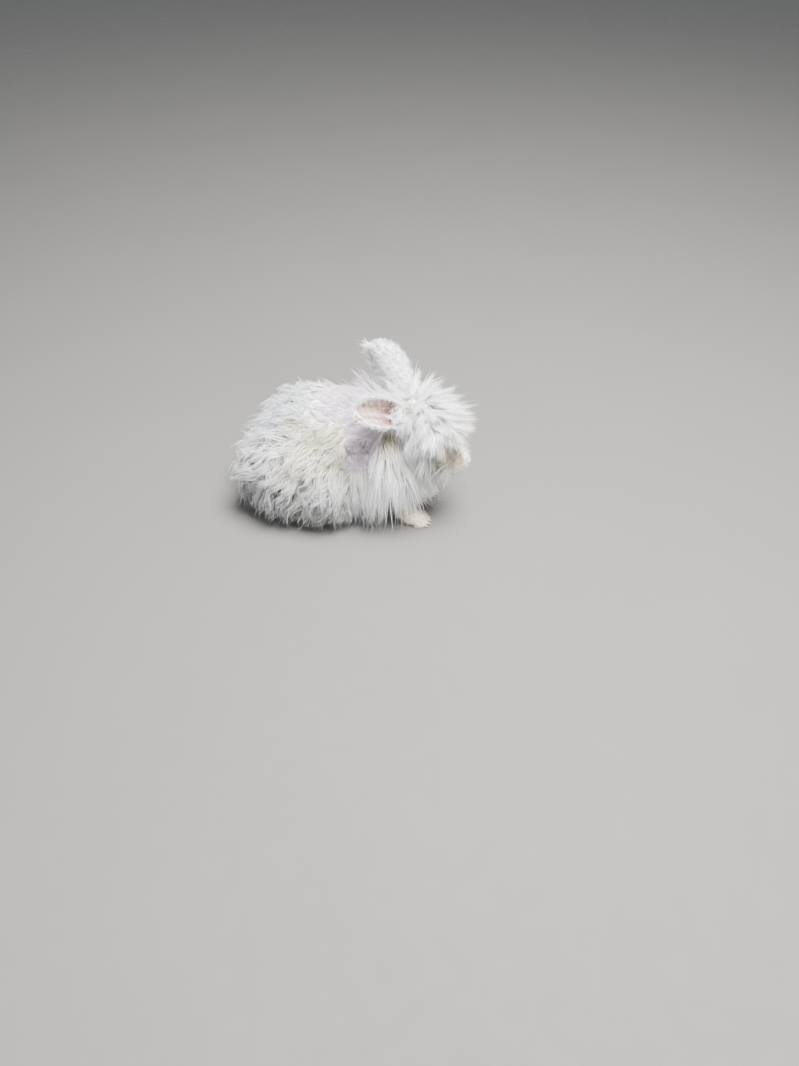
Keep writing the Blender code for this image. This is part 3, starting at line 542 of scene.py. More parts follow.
def part_of(places):
    """Index in PARTS of the body that each place lies on."""
    toes = [np.array(mirrored(PAW_PLACE, s)) for s in (LEFT, RIGHT)]
    paws = np.min([np.linalg.norm(places - toe, axis=1) for toe in toes], axis=0) - 20 * MM
    forelegs = np.minimum(np.minimum(FORELEG[LEFT].away(places), FORELEG[RIGHT].away(places)), np.maximum(paws, 0))
    feet = np.minimum(HIND_FOOT[LEFT].away(places), HIND_FOOT[RIGHT].away(places))
    thighs = np.minimum(THIGH[LEFT].away(places), THIGH[RIGHT].away(places))
    all_away = [TORSO.away(places), NECK.away(places), HEAD.away(places), TAIL.away(places), thighs, feet, forelegs]
    found = np.argmin(all_away, axis=0)
    _, local = nearest_ear(places)
    inside = (local[:, 0] > 4 * MM) & (np.abs(local[:, 1]) < 21 * MM) & (np.abs(local[:, 2]) < 14 * MM)
    return np.where(inside & (HEAD.away(places) > 2.5 * MM), PARTS.index("ear"), found)


def mottle(places, scale, seed):
    """A smooth, even noise from about -1 to 1."""
    rng = np.random.default_rng(seed)
    total = np.zeros(len(places))
    for _ in range(6):
        way = unit(rng.normal(size=3)) * 2 * math.pi / (scale * rng.uniform(0.7, 1.4))
        total += np.sin(places @ way + rng.uniform(0, 6.28))
    return total / 2.6


WHITE = np.array((0.965, 0.968, 0.975))
CREAM = np.array((0.78, 0.73, 0.56))
GREY = np.array((0.22, 0.235, 0.222))
DIRT = np.array((0.13, 0.13, 0.14))
STRAW = np.array((0.50, 0.41, 0.20))
# Painted shade: a cool blue-grey for the rump
RUMP_SHADE_BLUE = np.array((0.52, 0.59, 0.74))
ROSE = np.array((0.83, 0.74, 0.85))
PAW_CREAM = np.array((0.70, 0.64, 0.43))
TAN = np.array((0.27, 0.19, 0.12))
FLESH = np.array((0.86, 0.68, 0.74))
# Pink and red of the ear's cup: real skin colour, darkened as painted shade for the inside of the cup
SHADED_EAR_PINK = np.array((0.23, 0.10, 0.072))
SHADED_EAR_RED = np.array((0.12, 0.028, 0.023))
NOSE_PINK = np.array((0.66, 0.37, 0.34))
LIP = np.array((0.93, 0.84, 0.82))


def mixed(colours, other, share):
    share = np.clip(share, 0, 1)[:, None]
    return colours * (1 - share) + other * share


def saddle_at(places):
    """How much a place belongs to the saddle, where the hair is short and the skin shows."""
    x, y, z = (places / MM).T
    over = smoothstep(-46, -24, x) * (1 - smoothstep(38, 46, x)) * smoothstep(96, 112, z)
    thigh = (1 - smoothstep(-4, 6, x)) * smoothstep(28, 40, np.abs(y))
    return over * (1 - thigh)


def soiled_at(places):
    """How much a place belongs to the soiled, matted spots behind the shoulders."""
    x, y, z = np.array(places).T / MM
    return np.exp(-(((x - 17) / 16) ** 2) - ((z - 128) / 14) ** 2) * smoothstep(20, 32, np.abs(y))


def markings(places, parts):
    """Colour of the coat by its place: white, with cream, grey and straw where it is stained, and painted shade:
    blue-grey on the rump, grey low on the haunch and towards its rear.
    """
    x, y, z = (places / MM).T
    face = HEAD.local(places) / MM
    soft = mottle(places, 30 * MM, 3)
    fine = mottle(places, 11 * MM, 4)
    colours = np.tile(WHITE, (len(places), 1))
    # Painted shade: blue-grey laid over the upper rear of the rump
    rump_shade = (parts == PARTS.index("torso")) * (1 - smoothstep(-70, -40, x)) * smoothstep(90, 120, z)
    colours = mixed(colours, RUMP_SHADE_BLUE, rump_shade * (0.45 + 0.2 * soft))
    trunk = np.isin(parts, [PARTS.index(name) for name in ("torso", "neck", "thigh")])
    haunch = (parts == PARTS.index("thigh")) | (parts == PARTS.index("torso")) & (np.abs(y) > 34) & (x < 6)
    cream = smoothstep(-90, -64, x) * smoothstep(78, 104, z)
    colours = mixed(colours, CREAM, haunch * cream * (0.6 + 0.3 * soft + 0.25 * fine))
    # Painted shade: grey laid on the haunch, stronger towards the bottom and the rear
    low = 1 - smoothstep(30, 108, z)
    rear = 1 - smoothstep(-104, -60, x)
    colours = mixed(colours, GREY, haunch * np.clip(low + 0.3 * rear, 0, 1) * (0.8 + 0.3 * fine))
    ruff = trunk * np.exp(-(((x - 55) / 15) ** 2) - ((z - 143) / 24) ** 2) * smoothstep(16, 28, np.abs(y))
    colours = mixed(colours, STRAW, ruff * (0.8 + 0.5 * fine))
    colours = mixed(colours, GREY, ruff * (0.12 - 0.5 * fine))
    saddle = trunk * saddle_at(places)
    colours = mixed(colours, ROSE, saddle * (0.8 + 0.25 * soft))
    soiled = trunk * soiled_at(places)
    colours = mixed(colours, DIRT, soiled * smoothstep(-0.1, 0.9, mottle(places, 9 * MM, 6)) * 0.9)
    foreleg = (parts == PARTS.index("foreleg")) * (1 - smoothstep(30, 70, z))
    colours = mixed(colours, PAW_CREAM, foreleg * (0.85 + 0.15 * soft))
    colours = mixed(colours, PAW_CREAM, (parts == PARTS.index("foot")) * 0.6)
    head = parts == PARTS.index("head")
    muzzle = head * smoothstep(66, 80, face[:, 0]) * (1 - smoothstep(99, 107, face[:, 0]))
    colours = mixed(colours, CREAM, muzzle * (0.45 + 0.15 * soft))
    patch = np.exp(-(((face[:, 0] - 91) / 17) ** 2) - ((face[:, 2] - 8) / 16) ** 2) * smoothstep(2, 9, np.abs(face[:, 1]))
    colours = mixed(colours, TAN, head * patch * (0.95 + 0.25 * fine))
    stain = np.exp(-(((face[:, 0] - 70) / 10) ** 2) - ((face[:, 2] + 4) / 10) ** 2) * smoothstep(8, 14, np.abs(face[:, 1]))
    colours = mixed(colours, GREY, head * stain * (0.6 + 0.3 * fine))
    lips = head * smoothstep(97, 102, face[:, 0]) * (1 - smoothstep(-8, -3, face[:, 2]))
    colours = mixed(colours, LIP, lips * 0.8)
    return colours


def skin_colours(places, outs, parts):
    """The coat's markings over flesh, pink in the ears and on the nose. The ears' pink and red also carry painted
    shade, darkened for the inside of the cup.
    """
    saddle = saddle_at(places) * np.isin(parts, [PARTS.index(name) for name in ("torso", "neck", "thigh")])
    short = np.isin(parts, [PARTS.index(name) for name in ("foreleg", "foot", "ear")])
    colours = mixed(markings(places, parts), FLESH, 0.08 + 0.72 * saddle + 0.04 * short)
    face = HEAD.local(places) / MM
    pad = np.exp(-(((face[:, 0] - 109) / 4.5) ** 2) - (face[:, 1] / 6.5) ** 2 - ((face[:, 2] + 4) / 4.5) ** 2)
    colours = mixed(colours, NOSE_PINK, pad * 1.4)
    for side in (LEFT, RIGHT):
        near = np.linalg.norm(places - np.array(EYES[side]), axis=1) / MM
        colours = mixed(colours, NOSE_PINK * 0.6, 1 - smoothstep(9.6, 11.5, near))
    is_left, local = nearest_ear(places)
    opens = np.where(is_left[:, None], *[np.array(EAR_FRAME[side].to_3x3())[:, 2] for side in (LEFT, RIGHT)])
    share, across = ear_shares(local)
    cup = (parts == PARTS.index("ear")) * smoothstep(0.0, 0.35, (outs * opens).sum(axis=1))
    cup = cup * (1 - smoothstep(0.0, 0.14, across - bare_at(share)))
    # Painted shade: the cup's own pink and red, made dark for the shade inside the ear
    colours = mixed(colours, SHADED_EAR_PINK, cup * (0.85 + 0.15 * mottle(places, 9 * MM, 5)))
    return mixed(colours, SHADED_EAR_RED, cup * (1 - smoothstep(0.24, 0.52, share)) * 0.9)


def set_colours(mesh, name, colours):
    attribute = mesh.attributes.new(name, "FLOAT_COLOR", "POINT")
    full = np.ones((len(colours), 4), np.float32)
    full[:, :3] = colours
    attribute.data.foreach_set("color", full.ravel())


set_colours(mesh, "Tint", skin_colours(points, normals, part_of(points)))
tri_parts = part_of(middles)

# ---- the coat

FRONT, BACK = Vector((1, 0, 0)), Vector((-1, 0, 0))
rng = np.random.default_rng(11)


class Kind:
    """How a sort of hair is laid: tufts per square millimetre, half width and waves in millimetres."""

    def __init__(self, density, width, rings, clump, spread, wave, wavelength, slot="wool"):
        self.density, self.width, self.rings = density, width, rings
        self.clump, self.spread, self.wave, self.wavelength = clump, spread, wave, wavelength
        self.slot = slot


KINDS = {
    "wavy": Kind(0.25, 0.44, 8, 0.80, 2.4, 2.2, 25),
    "straight": Kind(0.42, 0.34, 4, 0.38, 3.4, 1.3, 36),
    "burst": Kind(1.57, 0.32, 4, 0.60, 3.0, 0.9, 34),
    "sleek": Kind(0.60, 0.28, 3, 0.45, 0.8, 0.3, 14),
    "short": Kind(1.3, 0.26, 2, 0.30, 0.4, 0.0, 10),
    "paw": Kind(0.42, 0.32, 2, 0.40, 0.6, 0.1, 10, "paw_fur"),
    "ear": Kind(1.3, 0.30, 3, 0.40, 0.8, 0.2, 12),
    "rim": Kind(1.0, 0.32, 3, 0.50, 1.4, 0.4, 14),
    "inner": Kind(0.03, 0.18, 3, 0.30, 1.0, 0.2, 14),
}


class Hair:
    """What a guide needs: its kind, lie, length and highest point in millimetres, stand and droop."""

    def __init__(self, kind, lie, length, stand, droop=0.0, highest=40):
        self.kind, self.lie, self.length = kind, lie, length
        self.stand, self.droop, self.highest = stand, droop, highest


def ear_hair(place, out):
    is_left, local = nearest_ear(np.array([place]))
    side = LEFT if is_left[0] else RIGHT
    share, across = (float(found[0]) for found in ear_shares(local))
    turn = EAR_FRAME[side].to_3x3()
    outward = turn @ Vector((0.25, math.copysign(1, local[0, 1]), 0))
    if out.dot(turn @ Vector((0, 0, 1))) > 0.1:
        if share < 0.2:
            return Hair("burst", DOWN + turn @ Vector((0.6, 0, 0)) + Vector(rng.normal(0, 0.3, 3)), 20, 0.8, 0.15, 30)
        if across > float(bare_at(share)):
            return Hair("rim", turn @ Vector((1, 0, 0)) + outward * 0.6, 8, 0.12)
        return Hair("inner", turn @ Vector((1, 0, 0)) + outward * 0.3, 10, 0.4)
    if across > 0.8 or share > 0.92:
        fringe = 9 * (side == LEFT and local[0, 1] < 0 and share > 0.35)
        return Hair("rim", turn @ Vector((1, 0, 0.1)) + outward * (0.5 + 0.12 * fringe), 9 + fringe, 0.4)
    return Hair("ear", turn @ Vector((1, 0, 0)), 12 if share < 0.2 else 9, 0.4 if share < 0.2 else 0.2)


def head_hair(place, out):
    local = HEAD.frame.inverted() @ place / MM
    turn = HEAD.frame.to_3x3()
    if (place - EYES[LEFT if local.y > 0 else RIGHT]).length < EYE_RADIUS + 1.9 * MM:
        return None
    if local.x > 106 and abs(local.y) < 5.5 and -8 < local.z < 0.5:
        return None
    if local.x > 71 and local.z > -14 or local.x > 88:
        length = 3.4 + 6.8 * float(1 - smoothstep(74, 104, local.x))
        return Hair("short", turn @ Vector((-1, 0, -0.25 if local.z < 6 else 0.1)), length, 0.25, 0, 4)
    if local.z < -14:
        long = 14 * math.exp(-(((local.x - 66) / 9) ** 2))
        return Hair("straight", DOWN + BACK * 0.2, 32 + long, 0.35, 0.05, 24)
    top = float(smoothstep(0.1, 0.75, out.z))
    front = top * float(smoothstep(22, 52, local.x))
    splay = local.y / 22
    length = min(50 - 10 * top, 10 + 2.0 * (75 - local.x))
    lie = turn @ Vector((top - 0.1, splay * (0.4 + 0.6 * top), 0)) + DOWN * (1.4 - 1.4 * top)
    lie += Vector(rng.normal(0, 0.16 + 0.26 * top + 0.4 * top * smoothstep(40, 20, local.x), 3))
    stand = 0.5 + 0.5 * top + 0.9 * front
    if top > 0.4 and rng.random() < 0.4:
        length, stand = 0.45 * length, 1.8
    if local.y > 0 and top < 0.5:
        gap = local - EYE_PLACE / MM
        length = min(length, max(5.0, 0.95 * gap.length - 8))
        lie += turn @ gap.normalized() * 1.4 * float(smoothstep(30, 12, gap.length))
    return Hair("burst", lie, max(5.0, length), stand, 0.22 - 0.16 * top, 42)


def hair_at(part, place, out):
    """The hair on a place of the skin, or None where it is bare."""
    x, y, z = place / MM
    hang = z - 4
    if z < 7 and out.z < -0.4:
        return None
    if part == "ear":
        return ear_hair(place, out)
    if part == "head":
        return head_hair(place, out)
    if part == "tail":
        return Hair("straight", BACK * 0.6 + DOWN * 0.6, 14, 0.3, 0.06, 7)
    if part in ("foreleg", "foot"):
        lie = DOWN + FRONT * 0.4 if z > 20 else FRONT + DOWN * 0.3
        return Hair("paw", lie, 9.0 if z > 20 else 6.0, 0.3)
    if part == "neck":
        nape = float(smoothstep(0.3, 0.9, out.z))
        reach = min(56 - 12 * nape, max(16, 1.15 * (z - 95) + 12))
        return Hair("straight", BACK * (0.4 + nape) + DOWN * (1 - nape), reach, 0.3 + 0.9 * nape, 0.13 - 0.07 * nape, 24)
    if part == "thigh":
        low, high = float(smoothstep(110, 40, z)), float(smoothstep(84, 112, z))
        if out.z < -0.6 or z < 22:
            return Hair("paw", DOWN + BACK * 0.4, 12, 0.3)
        lie = DOWN + BACK * (0.75 - 0.4 * low) + Vector(rng.normal(0, 0.1 + 0.22 * high, 3))
        return Hair("wavy", lie, min(62 - 22 * high, hang), 0.24 + 0.36 * high, 0.06, 15)
    if part in ("torso", "neck") and soiled_at(place) > 0.45 and rng.random() < 0.7:
        return Hair("wavy", BACK + DOWN + Vector(rng.normal(0, 0.9, 3)), 15, 0.7, 0.0, 10)
    if z > 98 and float(saddle_at(np.array([place]))[0]) > 0.5:
        return Hair("sleek", BACK + DOWN * (0.15 + 0.5 * (1 - max(0.0, out.z))), 10, 0.16, 0.0, 5)
    if x < 8:
        rear = float(smoothstep(-70, -120, x))
        if out.z < -0.3:
            return Hair("straight", BACK + DOWN * 0.4, 22, 0.15, 0.05, 8)
        return Hair("wavy", BACK + DOWN * (0.5 + 0.9 * rear), min(44 + 6 * rear, hang), 0.22 + 0.12 * rear, 0.07, 12 + 6 * rear)
    if out.z < -0.75:
        return Hair("straight", BACK + DOWN * 0.4, 22, 0.15, 0.05, 8)
    front = float(smoothstep(56, 80, x))
    return Hair("straight", DOWN + FRONT * 0.45 * front, min(92, hang - 6 * front), 0.28, 0.12, 30)


GUIDE_STEPS = 10
FLOOR = 0.8 * MM


def grow(root, out, hair):
    """A guide's places and outward directions. It leaves the skin by its lie, droops, and stays over it."""
    length = hair.length * MM * rng.uniform(0.72, 1.12)
    along = hair.lie - out * hair.lie.dot(out)
    along = along.normalized() if along.length > 0.05 else Vector((0, 0, -1))
    loose = 0.27 if hair.kind == "wavy" else 0.12
    across = along.cross(out)
    along = (along + across * rng.normal(0, loose)).normalized()
    heading = (along + out * hair.stand * rng.uniform(0.5, 1.7)).normalized()
    sway, place = rng.normal(0, loose), root
    places, outs = [root], [out]
    for i in range(1, GUIDE_STEPS + 1):
        share = i / GUIDE_STEPS
        turn = DOWN * hair.droop + across * sway * math.cos(math.pi * share)
        target = place + (heading + turn).normalized() * length / GUIDE_STEPS
        near, normal, _, _ = body_tree.find_nearest(target)
        lift = (0.5 + min(2.4, 0.12 * hair.length) * share) * MM
        height = (target - near).dot(normal)
        if hair.kind not in ("ear", "rim", "inner") and not lift < height < hair.highest * MM:
            target = near + normal * min(max(height, lift), hair.highest * MM)
        target.z = max(target.z, FLOOR)
        heading = (target - place).normalized()
        place = target
        places.append(place)
        outs.append(normal if hair.kind not in ("ear", "rim", "inner") else out)
    return places, outs


class Guides:
    """Guides over the whole skin, one for each small cell of it."""

    def __init__(self):
        order = rng.permutation(len(middles))
        self.hairs, paths, outs, cells = [], [], [], set()
        for t in order:
            part = PARTS[tri_parts[t]]
            cell = {"torso": 8.5, "thigh": 8.5, "neck": 7.0, "head": 5.5, "tail": 7.0}.get(part, 4.0) * MM
            key = (part, *np.floor(middles[t] / cell).astype(int), *np.round(facings[t] * 0.8).astype(int))
            if key in cells:
                continue
            cells.add(key)
            root, out = Vector(middles[t]), Vector(facings[t])
            hair = hair_at(part, root, out)
            self.hairs.append(hair)
            found = grow(root, out, hair) if hair else ([root] * (GUIDE_STEPS + 1), [out] * (GUIDE_STEPS + 1))
            paths.append(found[0])
            outs.append(found[1])
        self.paths, self.outs = np.array(paths), np.array(outs)
        self.phases = rng.uniform(0, 2 * math.pi, len(self.hairs))
        self.flicks = np.where(rng.random(len(self.hairs)) < 0.4, rng.uniform(0.08, 0.3, len(self.hairs)), 0.0)
        self.dulls = np.array([abs(rng.normal(0, 0.09)) if hair and hair.kind == "wavy" else 0.0 for hair in self.hairs])
        self.tree = KDTree(len(self.hairs))
        for i, key in enumerate(self.keys(self.paths[:, 0], self.outs[:, 0])):
            self.tree.insert(key, i)
        self.tree.balance()

    def keys(self, places, outs):
        return places + outs * 7 * MM

    def nearest(self, places, outs):
        return np.array([self.tree.find(key)[1] for key in self.keys(places, outs)])


guides = Guides()
tri_guides = guides.nearest(middles, facings)
tri_kinds = np.array([guides.hairs[g].kind if guides.hairs[g] else "" for g in tri_guides])


def smooth(t):
    return t * t * (3 - 2 * t)


def tufts_of(kind_name, chosen):
    """Rings of tufts rooted on the chosen triangles: places, sides and outs of each ring, and the roots."""
    kind = KINDS[kind_name]
    weights = areas[chosen]
    count = int(weights.sum() / MM**2 * kind.density)
    picked = chosen[rng.choice(len(chosen), count, p=weights / weights.sum())]
    a, b = rng.random((2, count, 1))
    flip = a + b > 1
    a, b = np.where(flip, 1 - a, a), np.where(flip, 1 - b, b)
    shares = np.concatenate([1 - a - b, a, b], axis=1)[:, :, None]
    roots = (points[triangles[picked]] * shares).sum(axis=1)
    outs = unit((normals[triangles[picked]] * shares).sum(axis=1))
    places = (uvs[corners[picked]] * shares).sum(axis=1)
    own = guides.nearest(roots, outs)
    kept = np.array([bool(guides.hairs[g]) for g in own])
    return kind, roots[kept], outs[kept], places[kept], own[kept]


BOX = np.array([list(corner) for corner in cad_box]) + np.array(ORIGIN)


def inside_box(places):
    """The places, with the few that lie outside the solids' box drawn in to within 8 mm of it."""
    over = np.maximum(places - BOX[1], 0) - np.maximum(BOX[0] - places, 0)
    return places - over + over / (1 + np.abs(over) / (8 * MM))


def laid(kind, roots, outs, own):
    """The rings' places and frames. Tufts gather round their guide, wave together and differ in reach."""
    count, rings = len(roots), kind.rings
    reach = rng.uniform(0.55, 1.0, (count, 1)) ** 0.7
    share = np.linspace(0, 1, rings + 1)[None, :] ** 0.9 * reach
    step = share * GUIDE_STEPS
    low = np.minimum(step.astype(int), GUIDE_STEPS - 1)
    part = (step - low)[:, :, None]
    rows = own[:, None]
    path = guides.paths[rows, low] * (1 - part) + guides.paths[rows, low + 1] * part
    up = unit(guides.outs[rows, low] * (1 - part) + guides.outs[rows, low + 1] * part)
    lengths = np.linalg.norm(np.diff(guides.paths, axis=1), axis=2).sum(axis=1)[own][:, None]
    ahead = unit(np.gradient(path, axis=1))
    side = unit(np.cross(ahead, up))
    stray = rng.random((count, 1)) < 0.12
    clump = np.where(stray, 0.15, kind.clump * rng.uniform(0.8, 1.1, (count, 1)))
    gather = clump * smooth(np.minimum(share * 1.15, 1)) ** (1.6 if kind is KINDS["burst"] else 1)
    start = (roots - guides.paths[own, 0])[:, None, :]
    spread = kind.spread * MM * np.where(stray, 2.2, 1.0)
    swing = rng.normal(0, 1, (count, 1)) * spread * share
    rise = np.abs(rng.normal(0, 0.8, (count, 1))) * spread * share
    turn = 2 * math.pi * share * lengths / (kind.wavelength * MM)
    turn = turn + guides.phases[own][:, None] + rng.normal(0, 0.35, (count, 1))
    bend = kind.wave * MM * np.minimum(share * 2.2, 1)
    flick = guides.flicks[own][:, None] * rng.uniform(0.5, 1.2, (count, 1)) + 0.12 * stray
    swing, rise = swing + bend * np.sin(turn), rise + 0.5 * bend * (1 + np.cos(turn))
    rise = rise + flick * lengths * share**2.2
    path = path + start * (1 - gather)[:, :, None] + side * swing[:, :, None] + up * rise[:, :, None]
    for eye in EYES.values():
        away = path - np.array(eye)
        far = np.linalg.norm(away, axis=2, keepdims=True)
        path = np.where(far < EYE_RADIUS + 2.6 * MM, np.array(eye) + away / far * (EYE_RADIUS + 2.6 * MM), path)
    path = inside_box(path)
    path[:, :, 2] = np.maximum(path[:, :, 2], FLOOR)
    path[:, 0] -= outs * 0.8 * MM
    ahead = unit(np.gradient(path, axis=1))
    side = unit(np.cross(ahead, up))
    roll = rng.uniform(-0.8, 0.8, (count, 1, 1))
    side = side * np.cos(roll) + np.cross(ahead, side) * np.sin(roll)
    return path, side, np.cross(side, ahead)


PROFILE = np.array((0.75, 1.0, 0.95, 0.85, 0.7, 0.5, 0.3))


def tuft_mesh(name, kind, path, side, over, places, colours):
    """Closed tufts of three sides that taper to a point, each with its own patch of the skin's unwrap."""
    count, rings = len(path), kind.rings
    profile = np.interp(np.linspace(0, 1, rings), np.linspace(0, 1, len(PROFILE)), PROFILE)
    half = kind.width * MM * rng.uniform(0.7, 1.25, (count, 1)) * profile
    sides = side[:, :rings] * half[:, :, None]
    overs = over[:, :rings] * half[:, :, None]
    body = path[:, :rings]
    ring = np.stack([body + sides - 0.3 * overs, body + 0.7 * overs, body - sides - 0.3 * overs], axis=2)
    verts = np.concatenate([ring.reshape(count, rings * 3, 3), path[:, -1:]], axis=1)
    faces = [(0, 2, 1)]
    for i in range(rings - 1):
        for k in range(3):
            a, b = 3 * i + k, 3 * i + (k + 1) % 3
            faces += [(a, b, b + 3), (a, b + 3, a + 3)]
    tip = rings * 3
    faces += [(tip - 3 + k, tip - 3 + (k + 1) % 3, tip) for k in range(3)]
    faces = np.array(faces)
    each = rings * 3 + 1
    index = (faces[None] + np.arange(count)[:, None, None] * each).reshape(-1, 3)
    mesh = bpy.data.meshes.new(name)
    mesh.vertices.add(count * each)
    mesh.vertices.foreach_set("co", (verts - np.array(ORIGIN)).astype(np.float32).ravel())
    mesh.loops.add(index.size)
    mesh.loops.foreach_set("vertex_index", index.astype(np.int32).ravel())
    mesh.polygons.add(len(index))
    mesh.polygons.foreach_set("loop_start", np.arange(0, index.size, 3, dtype=np.int32))
    grid = np.array([(k / 2 - 0.5, i / rings - 0.5) for i in range(rings) for k in range(3)] + [(0, 0.5)])
    patch = places[:, None, :] + grid[None] * 0.003
    mesh.uv_layers.new(name="OFBake").data.foreach_set("uv", patch.reshape(-1, 2)[index.ravel()].astype(np.float32).ravel())
    set_colours(mesh, "Tint", colours.reshape(-1, 3))
    mesh.update(calc_edges=True)
    mesh.shade_smooth()
    made = bpy.data.objects.new(name, mesh)
    bpy.context.scene.collection.objects.link(made)
    return made


# How much darker and creamier the hair is at its root: painted shade in the gaps between the locks, with a tint
LIGHT_ROOT_SHADE = np.array((0.05, 0.05, 0.05))
ROOT_SHADE = {
    "wavy": np.array((0.40, 0.41, 0.48)),
    "straight": np.array((0.26, 0.28, 0.33)),
    "burst": np.array((0.12, 0.14, 0.20)),
    "sleek": np.array((0.22, 0.30, 0.20)),
}
MOST_TRIANGLES = 185000
coat = []
total = 0
for kind_name in KINDS:
    chosen = np.flatnonzero(tri_kinds == kind_name)
    if not len(chosen):
        continue
    kind, roots, outs, places, own = tufts_of(kind_name, chosen)
    path, side, over = laid(kind, roots, outs, own)
    each = kind.rings * 3 + 1
    tone = 1 + rng.normal(0, 0.05, (len(roots), 1, 1)) - guides.dulls[own][:, None, None]
    ringed = markings(path.reshape(-1, 3), np.repeat(part_of(roots), kind.rings + 1)).reshape(path.shape)
    # Painted shade, strongest at the root and gone two thirds of the way along the tuft
    under = 1 - np.minimum(np.linspace(0, 1.5, kind.rings + 1), 1)[:, None]
    ringed = ringed * (1 - under * ROOT_SHADE.get(kind_name, LIGHT_ROOT_SHADE))
    ringed = np.clip(ringed * tone, 0, 1)
    colours = np.concatenate([np.repeat(ringed[:, :-1], 3, axis=1), ringed[:, -1:]], axis=1)
    cost = 6 * (kind.rings - 1) + 4
    parts = math.ceil(len(roots) * cost / MOST_TRIANGLES)
    total += len(roots) * cost
    order = np.argsort(path[:, 0, 0], kind="stable")
    for i, chunk in enumerate(np.array_split(order, parts)):
        name = f"coat_{kind_name}_{i + 1}"
        piece = tuft_mesh(name, kind, path[chunk], side[chunk], over[chunk], places[chunk], colours[chunk])
        coat.append((piece, kind.slot))
    print("coat", kind_name, len(roots), "tufts", len(roots) * cost, "triangles", parts, "pieces")
print("coat in all", total, "triangles")

# ---- eyes, claws and whiskers

PUPIL = np.array((0.004, 0.003, 0.004))
IRIS = np.array((0.16, 0.035, 0.022))
EYE_EDGE = np.array((0.035, 0.008, 0.008))
HORN = np.array((0.62, 0.50, 0.40))


def moved(obj):
    """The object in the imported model's axes, whose origin is under the middle of its box."""
    obj.data.transform(Matrix.Translation(-ORIGIN))
    return obj


def eyeball(side):
    made = ball(f"eyeball_{SIDE_NAMES[side]}", EYES[side], ALL * EYE_RADIUS, HEAD_TURN, 96, 64)
    axis = HEAD_TURN @ Vector((0.34, side, 0.04)).normalized()
    colours = []
    for vertex in made.data.vertices:
        angle = math.degrees((vertex.co - EYES[side]).angle(axis))
        streak = 0.5 + 0.5 * math.sin(31 * math.atan2(vertex.co.z - EYES[side].z, vertex.co.x - EYES[side].x))
        iris = IRIS * (0.75 + 0.5 * streak)
        t = float(smoothstep(23, 26, angle))
        colour = PUPIL * (1 - t) + iris * t
        t = float(smoothstep(44, 50, angle))
        colours.append(colour * (1 - t) + EYE_EDGE * t)
    set_colours(made.data, "Tint", np.array(colours))
    made.data.shade_smooth()
    return moved(made)


def horn(root, ahead, length, radius, droop, sides=10, count=8):
    """A curved, tapered spike."""
    rings, place = [], root
    for i in range(count):
        share = i / count
        heading = (ahead + DOWN * droop * share).normalized()
        across = heading.cross(UP).normalized()
        over = across.cross(heading)
        size = radius * (1 - share) ** 0.7
        rings.append([
            place + (across * math.cos(a) + over * math.sin(a) * 1.2) * size
            for a in (2 * math.pi * k / sides for k in range(sides))
        ])
        place = place + heading * length / count
    return loft("horn", rings, (root - ahead * radius, place))


def build_claws():
    pieces = []
    for side in (LEFT, RIGHT):
        for row in (TOES_PLACE, HIND_TOES_PLACE):
            for place in toe_places(mirrored(row, side)):
                root = place + Vector((TOE_RADII.x - 1.4 * MM, 0, 0.2 * MM))
                pieces.append(horn(root, Vector((1, 0, 0.05)), 6.5 * MM, 1.15 * MM, 0.9))
    claws = merged("claws", pieces)
    set_colours(claws.data, "Tint", np.tile(HORN, (len(claws.data.vertices), 1)))
    claws.data.shade_smooth()
    return moved(claws)


def build_whiskers():
    pieces = []
    turn = HEAD.frame.to_3x3()
    for side in (LEFT, RIGHT):
        for i in range(9):
            root = HEAD.frame @ (Vector((95 - 2.6 * (i % 3), side * (13.2 + 0.5 * (i % 3)), -6 - 2.4 * (i // 3))) * MM)
            way = turn @ Vector((0.35 - 0.3 * (i % 3), side, 0.22 - 0.18 * (i // 3))).normalized()
            pieces.append(horn(root, way, rng.uniform(22, 32) * MM, 0.15 * MM, 0.45, 5, 9))
    whiskers = merged("whiskers", pieces)
    set_colours(whiskers.data, "Tint", np.tile(WHITE, (len(whiskers.data.vertices), 1)))
    whiskers.data.shade_smooth()
    return moved(whiskers)


# ---- materials


